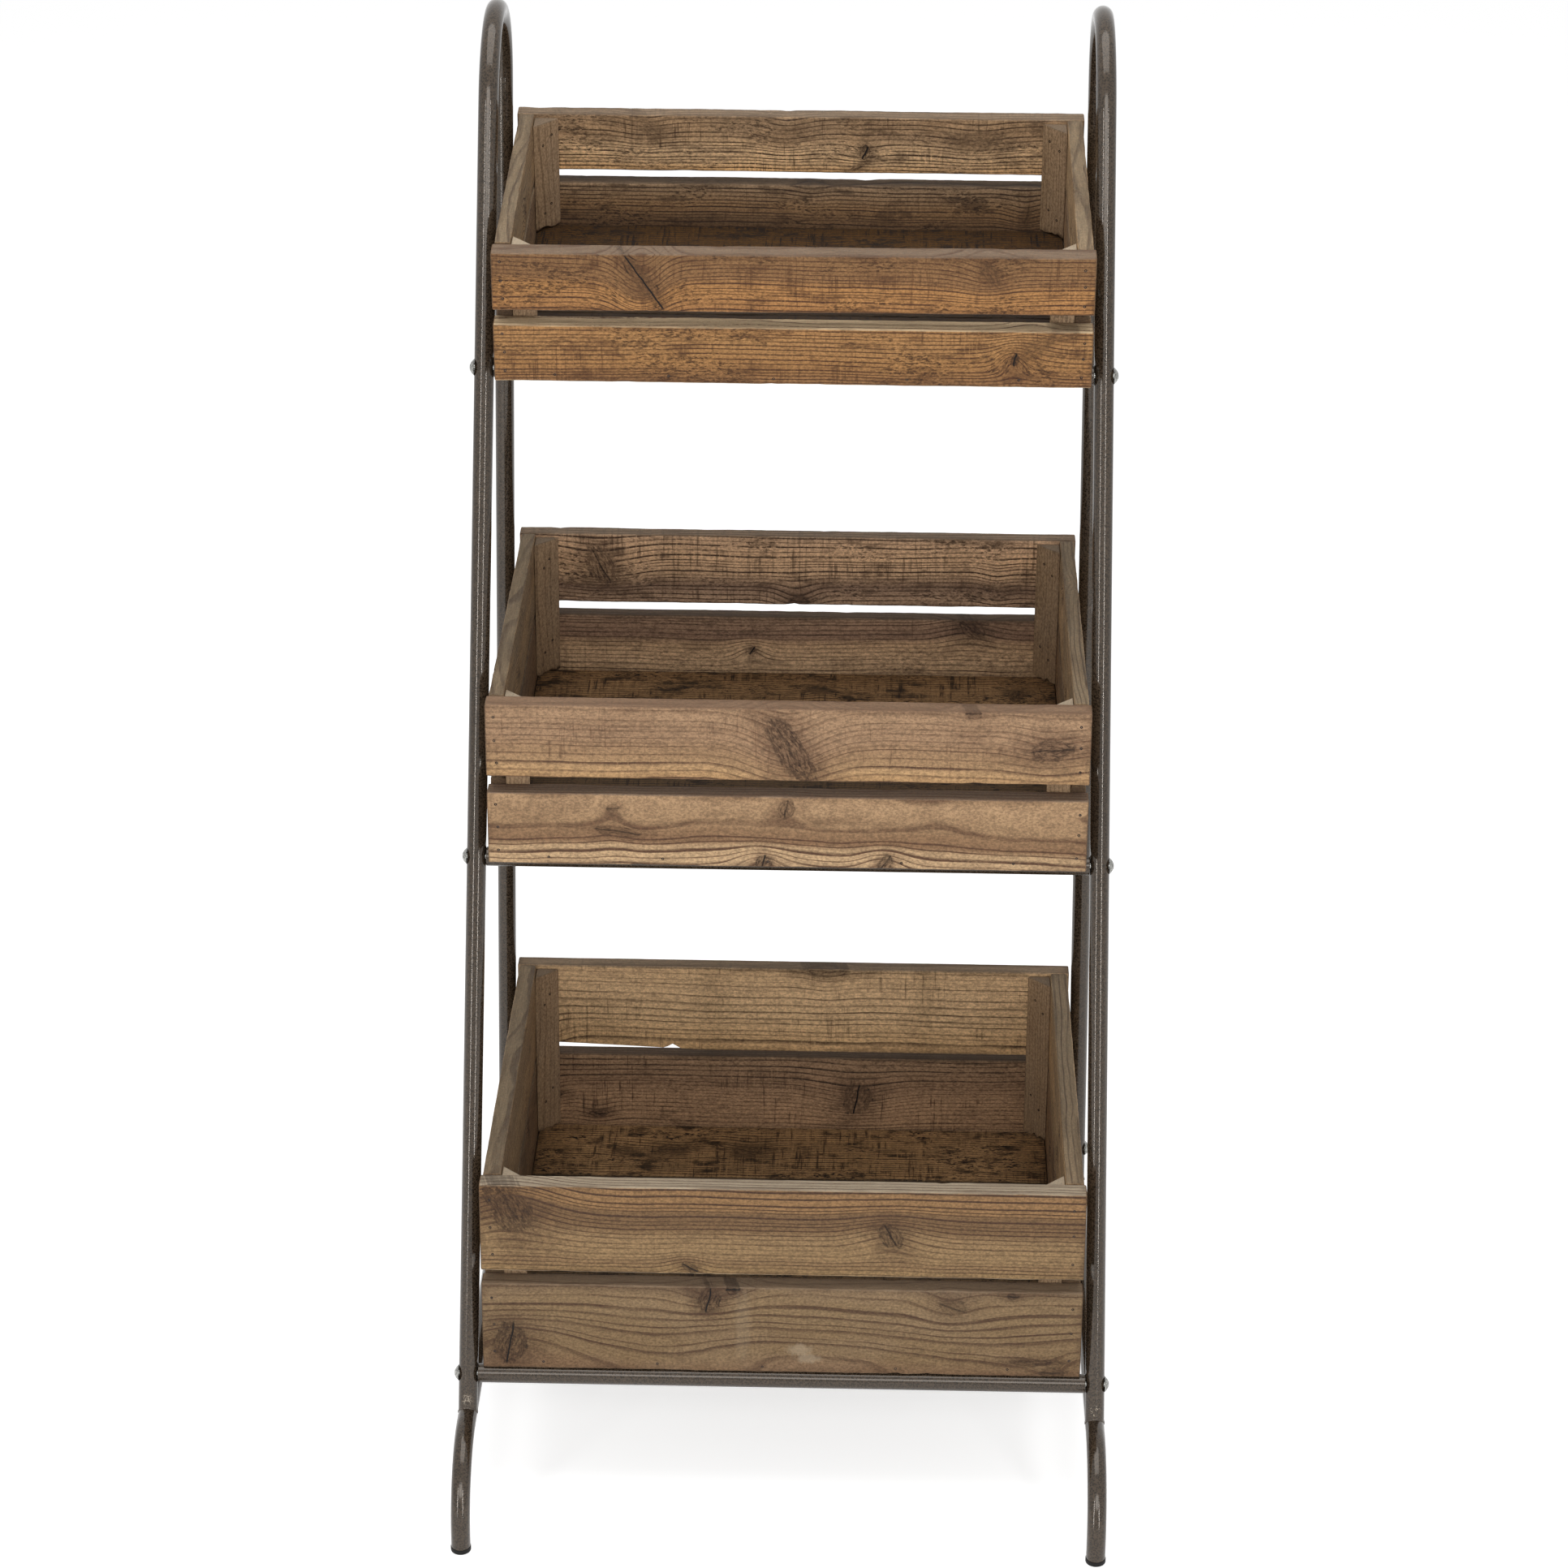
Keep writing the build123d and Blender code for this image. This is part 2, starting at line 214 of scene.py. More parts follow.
def new_tree(owner):
    owner.use_nodes = True
    owner.node_tree.nodes.clear()
    return Net(owner.node_tree)


def new_material(name):
    material = bpy.data.materials.new(name)
    net = new_tree(material)
    shader = net.node("BsdfPrincipled")
    net.put(net.node("OutputMaterial").inputs["Surface"], net.out(shader))
    return material, net, shader.inputs


# ---- Wood ----

# A knot: how far it pushes the growth rings aside, where it lies, its own rings and its crack
net, given, result = new_group("knot", "Place:Vector Centre:Vector Radius Stretch Angle Push Crack Shade",
                               "Warp Mask Tone Crack Halo")
place, centre, radius, stretch, angle, push, crack, shade = given
off_x, off_y, off_z = net.split(net.vector("SUBTRACT", place, centre))
lean_x = mad(off_y, 0.25, off_x)
cos_a, sin_a = net.math("COSINE", angle), net.math("SINE", angle)
long = lean_x * cos_a + off_z * sin_a
wide = off_z * cos_a - lean_x * sin_a
smooth = net.vector("LENGTH", net.join(long / stretch / radius, wide / radius, 0))
wobble = net.noise(place, 0.07, 3)
frayed = net.noise(net.join(long * 0.13, wide * 0.42, 0), 1, 3, 0.7)
reach = smooth * mad(wobble, 0.9, 0.55)
ragged = reach + mad(frayed, 1.1, -0.55)
# The rings give way over about the same reach along the board, whatever the knot's slant
aside = off_x / mad(radius, 2.4, 6)
upward = off_z / mad(radius * stretch, 1.1, 6)
near = aside * aside + upward * upward
core = shade.step(0.4, 0.6) * shade
cover = net.noise(place, 0.12, 3, 0.6).step(0.35, 0.6, 0.8, 1)
rings = net.math("PINGPONG", reach * (radius * 0.36), 0.5).step(0.3, 0.47)
tone = rings * 0.4 + frayed.step(0.42, 0.57) * 0.8
seam = abs(wide + mad(wobble, 3, -1.5)).fall(0.35, 0.8) * reach.fall(0.8, 1.05)
rim = abs(reach - 0.98).fall(0.03, 0.1) * net.noise(place, 0.16, 2).step(0.55, 0.65, 0, 0.7)
net.give(
    result,
    Warp=net.math("EXPONENT", near * -1) * push,
    Mask=ragged.fall(0.75, 1.15) * core * cover,
    Tone=net.math("ADD", tone, reach.step(0.7, 0.92, 0, 0.9), clamp=True),
    Crack=net.math("MAXIMUM", seam, rim) * crack,
    Halo=ragged.fall(0.5, 2.7) * shade,
)
knot_group = net.tree

# Growth: how far a point lies from the pith, and how far down the board its ring belongs
net, given, result = new_group("growth", "Place:Vector Half:Vector Seed Warp Pith:Vector Side Wave",
                               "Radius Down Moved:Vector")
place, half, seed, warp, pith, side, wave = given
moved = net.vector("ADD", place, net.vector("MULTIPLY", net.join(seed, seed, seed), (391.7, 57.3, 83.1)))
x, y, z = net.split(place)
pith_y, pith_z, pith_slope = net.split(pith)
drift = mad(net.noise(moved, (0.0055, 0.01, 0.01), 1), 3, -1.5) * wave
bend = drift + mad(net.noise(moved, (0.03, 0.05, 0.05)), 1.2, -0.6) + warp
across = z - pith_z + x * pith_slope
bent = mad(mad(x, pith_slope * side, bend), side, z)
net.give(
    result,
    Radius=net.vector("LENGTH", net.join(0, y - pith_y, across)) + bend,
    Down=mad(bent / net.split(half)[2], -0.5, 0.5),
    Moved=moved,
)
growth_group = net.tree

# A board: ring lines, fibres, saw marks, dirt and grey weathering, by the place in millimetres
net, given, result = new_group(
    "board",
    "Place:Vector Half:Vector Moved:Vector Radius Seed Knot Tone Crack Halo Ring Strength Light:Color "
    "Dark:Color Grey:Color End:Color Greyness Saw Rough Edge",
    "Color:Color Roughness Height",
)
(place, half, moved, radius, seed, knot, knot_tone, crack, halo, ring, strength,
 light, dark, grey, end, greyness, saw, rough, edge_grey) = given
x, y, z = net.split(place)
moved_x = net.split(moved)[0]


def flowing(scale_x, scale_r, scale_y, detail=3, rough=0.5):
    """Noise drawn out along the growth rings."""
    return net.noise(net.join(moved_x * scale_x, radius * scale_r, y * scale_y), 1, detail, rough)


patch = net.noise(moved, (0.011, 0.03, 0.03), 3, 0.6)
patch_b = net.noise(net.vector("ADD", moved, (310, 77, 41)), (0.014, 0.035, 0.035), 3, 0.6)
# Rings: a dark late-wood line with a soft flank, broken up where the wood is torn
uneven = net.node("TexNoise", noise_dimensions="1D")
net.give(uneven.inputs, W=(radius + seed) * 0.05, Scale=1, Detail=2)
count = radius / ring + net.out(uneven) * 3.2
phase = net.math("FRACT", count)
each = net.node("TexWhiteNoise", noise_dimensions="1D")
net.give(each.inputs, W=net.math("FLOOR", count))
line = phase.step(0.6, 0.86) * phase.fall(0.94, 1) * mad(net.out(each), 0.6, 0.65)
torn = patch_b.step(0.47, 0.6) * rough
crumbs = flowing(0.32, 0.8, 0.8, 3, 0.65).step(0.45, 0.6)
fading = flowing(0.012, 0.2, 0.1).step(0.3, 0.55, 0.6, 1)
line = line * (fading * strength)
line = line * net.mix(torn, (1, 1, 1, 1), net.join(crumbs, crumbs, crumbs))
fibre = flowing(0.05, 1.1, 1.1, 4, 0.7)
worm = net.noise(moved, (0.4, 0.58, 0.58), 2, 0.7)
cuts = net.noise(moved, (0.32, 0.016, 0.016), 3, 0.75)
sawn = patch_b.step(0.55, 0.42) * saw
dark_cut = cuts.step(0.54, 0.66) * sawn
pale_cut = cuts.step(0.46, 0.36) * sawn
dash = flowing(0.2, 0.6, 0.6, 3, 0.65).step(0.5, 0.62) * torn
smudge = net.noise(moved, (0.03, 0.075, 0.075), 4, 0.7).step(0.5, 0.66) * rough

tone = mad(line, 1.5, fibre.step(0.4, 0.7) * 0.3, clamp=True)
color = net.mix(tone, light, dark)
color = net.mix(patch.step(0.42, 0.62) * greyness, color, net.mix(tone * 0.8, grey, dark))
deep = net.mix(0.45, dark, (0.012, 0.007, 0.004, 1))
# Knots and the stain around them
stain = halo * (fibre + line).step(0.3, 0.75, 0.4, 1)
heart = net.mix(mad(knot, 0.45, 0.18), light, dark)
knot_color = net.mix(knot_tone, heart, linear(42, 26, 17))
for share, tint in (
    (smudge * 0.6, dark), (pale_cut * 0.3, light), (dark_cut * 0.5, dark), (dash * 0.8, deep),
    (stain * 0.82, dark), (knot * 0.92, knot_color), (crack, linear(16, 11, 8)),
):
    color = net.mix(share, color, tint)
# Narrow faces, end grain and edges
gap_x, gap_y, gap_z = (h - abs(p) for h, p in zip(net.split(half), (x, y, z)))
narrow_tone = mad(line, 0.7, (fibre + worm).step(0.85, 1.2) * 0.45, clamp=True)
narrow_color = net.mix(knot * 0.6, net.mix(narrow_tone, grey, dark), linear(48, 36, 30))
end_tone = mad(line, 0.6, worm.step(0.4, 0.65, 0.1, 0.8), clamp=True)
end_color = net.mix(end_tone, end, net.mix(0.5, end, dark))
low_yz, high_yz = net.math("MINIMUM", gap_y, gap_z), net.math("MAXIMUM", gap_y, gap_z)
edge = net.math("MINIMUM", high_yz, net.math("MAXIMUM", low_yz, gap_x))
rub = edge.fall(0.4, 1.4) * worm.step(0.35, 0.6, 0.4, 1)
grime = edge.fall(1.2, 7) * patch_b.step(0.42, 0.58)
for share, tint in (
    (gap_z.fall(0.5, 1.5) * edge_grey, narrow_color), (gap_x.fall(0.3, 1.3) * 0.9, end_color),
    (rub * 0.3, light), (grime * 0.35, dark),
):
    color = net.mix(share, color, tint)
shade = worm.step(0.3, 0.7, 0.7, 1.26)
height = mad(line, -0.6, fibre * -0.4) + mad(dash, -0.8, worm * 0.8) + dark_cut * -0.4
net.give(
    result,
    Color=net.mix(1, color, net.join(shade, shade, shade), "MULTIPLY"),
    Roughness=mad(line, -0.12, mad(worm, 0.2, 0.7)),
    Height=height + mad(crack, -2.5, knot_tone * knot),
)
board_group = net.tree


def face_place(u, v, half):
    """A place on a board's face in mm, from its shares of the way from the left and from the top."""
    return (2 * u - 1) * half[0], 0, (1 - 2 * v) * half[2]


def wood_material(name, look, half=None):
    """One board's material: its tones, its place in the log and its knots."""
    material, net, shader = new_material(name)
    place = net.attribute("place", "Vector")
    warp = mask = tone = crack = halo = 0
    for u, v, size, stretch, angle, push, split, shade in look["knots"]:
        knot = net.group(knot_group, Place=place, Centre=face_place(u, v, half), Radius=size, Stretch=stretch,
                         Angle=math.radians(angle), Push=push, Crack=split, Shade=shade)
        warp = knot["Warp"] + warp
        tone = net.math("MAXIMUM", tone, knot["Tone"] * knot["Mask"])
        mask = net.math("MAXIMUM", mask, knot["Mask"])
        crack = net.math("MAXIMUM", crack, knot["Crack"])
        halo = net.math("MAXIMUM", halo, knot["Halo"])
    half_size, seed = net.attribute("half", "Vector"), net.attribute("seed", "Fac")
    side = -1 if look["pith"][1] > 0 else 1
    growth = net.group(growth_group, Place=place, Half=half_size, Seed=seed, Warp=warp, Pith=look["pith"],
                       Side=side, Wave=look["wave"])
    bands = net.fill(net.node("ValToRGB"), growth["Down"])
    stops = bands.color_ramp.elements
    for i, (down, tint, strength) in enumerate(look["bands"]):
        stop = stops[i] if i < 2 else stops.new(down)
        stop.position = down
        stop.color = (*linear(*(c * look["gain"] for c in tint))[:3], strength)
    wood = net.group(
        board_group, Place=place, Half=half_size, Moved=growth["Moved"], Radius=growth["Radius"], Seed=seed,
        Knot=mask, Tone=tone, Crack=crack, Halo=halo, Ring=look["ring"], Strength=net.out(bands, 1),
        Light=net.out(bands), Edge=look["edge_grey"],
        **{name.capitalize(): look[name] for name in ("dark", "grey", "end", "greyness", "saw", "rough")},
    )
    color = wood["Color"]
    for u, v, wide, tall, amount in look["paint"]:
        off = net.vector("SUBTRACT", place, face_place(u, v, half))
        off = net.vector("MULTIPLY", off, (1 / wide, 0, 1 / tall))
        ragged = mad(net.noise(place, (0.22, 0.1, 0.05), 5, 0.75), 1.6, -0.75)
        cover = (net.vector("LENGTH", off) + ragged).step(0.45, 1.15, amount, 0)
        color = net.mix(cover, color, linear(168, 152, 128))
    net.give(shader, Base_Color=color, Roughness=wood["Roughness"], Specular_IOR_Level=0.28,
             Normal=net.bump(wood["Height"], 0.0004, 0.9))
    return material


# ---- Board meshes ----

RING_STEP, THICK_STEP, WIDE_STEP, EDGE_GUARD = 0.0042, 0.0045, 0.0036, 0.0009
END_ROUND, ARC_STEPS = 0.0011, 4
CAP_SHARES = (0.93, 0.7, 0.38)
# A long edge's radius: the least, what wear adds, and the most as a share of the board's thickness
EDGE_LEAST, EDGE_WORN, EDGE_SLOW, EDGE_QUICK, EDGE_MOST = 0.0004, 0.0007, 0.00025, 0.0004, 0.32
CHIPS, CHIP_SPAN, CHIP_REACH, CHIP_DEPTH = 1.6, 0.45, (0.002, 0.008), (0.0008, 0.0026)
SIDE_SLOW, SIDE_QUICK, HOLLOW, RIPPLE = 0.000125, 0.00005, 0.00016, 0.00006
FACE_RIM, FACE_BLEND = 0.002, 0.0015
SEED_CYCLE, SEED_OFFSET = 17, 0.37


def unit(vectors):
    return vectors / np.linalg.norm(vectors, axis=-1, keepdims=True)


def waves(rng, scale, *places, terms=6):
    """Smooth random waves of about one unit over one or more coordinates."""
    total = 0.0
    for _ in range(terms):
        way = rng.normal(size=len(places))
        way *= rng.uniform(0.5, 1.5) / (scale * np.linalg.norm(way))
        total = total + np.sin(2 * math.pi * (sum(w * p for w, p in zip(way, places)) + rng.random()))
    return total / math.sqrt(terms)


def spread(length, step):
    """Places along an edge as shares of it, with one close to each end."""
    inner = np.linspace(EDGE_GUARD, length - EDGE_GUARD, max(2, round(length / step)))
    return np.concatenate(([0.0], inner, [length])) / length


def add_object(name, data):
    made = bpy.data.objects.new(name, data)
    scene.collection.objects.link(made)
    return made


def add_mesh(name, points, faces, material):
    """A smooth object in the scene, with a mesh of its own."""
    mesh = bpy.data.meshes.new(name)
    mesh.from_pydata(points, [], faces)
    mesh.update()
    mesh.polygons.foreach_set("use_smooth", [True] * len(mesh.polygons))
    mesh.materials.append(material)
    return add_object(name, mesh)


def skin(name, level, slot, number, material, rings, places, half):
    """A closed piece over rings of points, with its ends filled by shrinking rings."""
    count, around, _ = rings.shape
    points, spots = [rings.reshape(-1, 3)], [places.reshape(-1, 3)]
    base = np.arange(count * around).reshape(count, around)
    faces = []

    def add_faces(*corners, flip=False):
        made = np.stack(corners, 1)
        faces.extend((made[:, ::-1] if flip else made).tolist())

    for i in range(count - 1):
        add_faces(base[i], np.roll(base[i], -1), np.roll(base[i + 1], -1), base[i + 1])
    used = count * around
    for end, flip in ((0, True), (count - 1, False)):
        rim, middle, spot_middle = base[end], rings[end].mean(0), places[end].mean(0)
        for share in CAP_SHARES:
            points.append(middle + (rings[end] - middle) * share)
            spots.append(spot_middle + (places[end] - spot_middle) * share)
            inner = np.arange(used, used + around)
            add_faces(rim, np.roll(rim, -1), np.roll(inner, -1), inner, flip=flip)
            rim, used = inner, used + around
        points.append(middle[None])
        spots.append(spot_middle[None])
        add_faces(rim, np.roll(rim, -1), np.full(around, used), flip=flip)
        used += 1
    spots = np.concatenate(spots)
    turn = np.array(CRATES[level]["matrix"])
    piece = add_mesh(name, (np.concatenate(points) @ turn[:3, :3].T + turn[:3, 3]).tolist(), faces, material)
    mesh = piece.data
    volume = sum(mesh.vertices[p.vertices[0]].co.dot(p.normal) * p.area for p in mesh.polygons)
    if volume < 0:
        mesh.flip_normals()
    for label, kind, field, data in (
        ("place", "FLOAT_VECTOR", "vector", spots / MM),
        ("half", "FLOAT_VECTOR", "vector", np.broadcast_to(half / MM, spots.shape)),
        ("seed", "FLOAT", "value", np.full(len(spots), number % SEED_CYCLE + SEED_OFFSET)),
    ):
        made = mesh.attributes.new(label, kind, "POINT")
        made.data.foreach_set(field, np.ascontiguousarray(data, np.float32).ravel())
    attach(piece, f"crate_{level}")
    return piece


def plank_rings(number, low, high, along, wear=1.0, dents=(), edge_cut=None):
    """Rings of a board with worn edges, and each point's place along, through and across it."""
    rng, low, high = np.random.default_rng(number), np.array(low), np.array(high)
    axes = [along] + sorted((i for i in range(3) if i != along), key=lambda i: high[i] - low[i])
    length, thick, wide = size = (high - low)[axes]
    angles = np.linspace(0, math.pi / 2, 4)[:-1]
    lead, trim = END_ROUND * (1 - np.cos(angles)), END_ROUND * (1 - np.sin(angles))
    count = max(8, round(length / RING_STEP))
    s = np.concatenate((lead, np.linspace(END_ROUND, length - END_ROUND, count), length - lead[::-1]))
    inset = np.concatenate((trim, np.zeros(count), trim[::-1]))
    # The radius of each long edge, with chips in it here and there
    radii = []
    for _ in range(4):
        slow, quick = waves(rng, 0.09, s), waves(rng, 0.012, s)
        radius = EDGE_LEAST + wear * (EDGE_WORN + EDGE_SLOW * (1 + slow) + EDGE_QUICK * np.abs(quick))
        for _ in range(rng.poisson(CHIPS * wear * length / CHIP_SPAN)):
            place, reach = rng.uniform(0, length), rng.uniform(*CHIP_REACH)
            radius = radius + rng.uniform(*CHIP_DEPTH) * np.exp(-(((s - place) / reach) ** 2))
        radii.append(np.minimum(radius, EDGE_MOST * thick))
    uneven = [wear * (SIDE_SLOW * (1 + waves(rng, 0.16, s)) + SIDE_QUICK * (1 + waves(rng, 0.02, s)))
              for _ in range(2)]
    low_w, high_w = inset + uneven[0] - wide / 2, wide / 2 - inset - uneven[1]
    if edge_cut:
        low_w = low_w + edge_cut(s)
    low_t, high_t = inset - thick / 2, thick / 2 - inset
    # Corners in turn: low t low w, high t low w, high t high w, low t high w
    corners = ((low_t, low_w, 1, 1, math.pi), (high_t, low_w, -1, 1, 1.5 * math.pi),
               (high_t, high_w, -1, -1, 0.0), (low_t, high_w, 1, -1, 0.5 * math.pi))
    quarter = np.linspace(0, math.pi / 2, ARC_STEPS + 1)
    arcs = []
    for radius, (t, w, way_t, way_w, start) in zip(radii, corners):
        centre = np.stack((t + way_t * radius, w + way_w * radius), -1)
        arc = np.stack((np.cos(start + quarter), np.sin(start + quarter)), -1)
        arcs.append(centre[:, None] + radius[:, None, None] * arc)
    loop = []
    for i, arc in enumerate(arcs):
        shares = (spread(wide, WIDE_STEP) if i % 2 else spread(thick, THICK_STEP))[1:-1, None]
        last, following = arc[:, -1:], arcs[(i + 1) % 4][:, :1]
        loop += [arc, last + (following - last) * shares]
    t, w = np.moveaxis(np.concatenate(loop, 1), -1, 0)
    a = np.repeat(s[:, None] - length / 2, t.shape[1], 1)
    # Hollows of the faces: old planing, wear and knots
    depth = HOLLOW * wear * (1 + waves(rng, 0.05, a, w, terms=8))
    depth = depth + RIPPLE * (1 + waves(rng, 0.008, a * 0.5, w, terms=8))
    for u, v, radius, deep in dents:
        off = ((a - (2 * u - 1) * length / 2) / radius) ** 2 + ((w - (1 - 2 * v) * wide / 2) / radius) ** 2
        depth = depth + deep * np.exp(-off)
    on_face = np.clip((np.abs(t) - (thick / 2 - FACE_RIM)) / FACE_BLEND, 0, 1)
    places = np.stack((a, t - np.sign(t) * depth * on_face, w), -1)
    points = np.empty_like(places)
    points[..., axes] = places + ((high + low) / 2)[axes]
    return points, places, size / 2


# ---- Looks of the boards ----

def plain_bands(light):
    """Bands of a board whose face the photograph hides."""
    stops = ((0, (1, 1, 1), 0.6), (0.3, (0.94, 0.94, 0.94), 0.8), (0.55, (1.05, 1.05, 1.04), 0.5),
             (1, (0.96, 0.95, 0.94), 0.7))
    return [(down, [c * share for c, share in zip(light, shares)], strength) for down, shares, strength in stops]


TONES = {
    "amber": dict(dark=linear(74, 46, 28), grey=linear(132, 114, 96)),
    "tan": dict(dark=linear(86, 60, 43)),
    "drab": dict(dark=linear(66, 47, 33), grey=linear(136, 118, 98)),
    "olive": dict(dark=linear(70, 48, 33)),
    "umber": dict(dark=linear(56, 40, 29), grey=linear(112, 94, 76)),
    # The floors' dark ring and weathered tones are painted shade of the crates' insides
    "shaded_floor": dict(dark=linear(34, 23, 15), grey=linear(80, 66, 50)),
}
DEFAULT_LOOK = dict(ring=3.3, wave=3, greyness=0, saw=0.6, rough=0.6, edge_grey=0.85, gain=1, knots=[], paint=[],
                    end=linear(92, 72, 52))
POST_LOOK = dict(
    DEFAULT_LOOK, pith=(9, -40, 0), ring=3, greyness=0.3, edge_grey=0, saw=0.1, rough=0.3,
    dark=linear(92, 70, 50), grey=linear(152, 130, 106), end=linear(188, 172, 148),
    bands=[(0, (164, 136, 106), 0.25), (1, (158, 130, 99), 0.25)],
)
REAR_POST_LOOK = dict(POST_LOOK, end=linear(120, 104, 86))
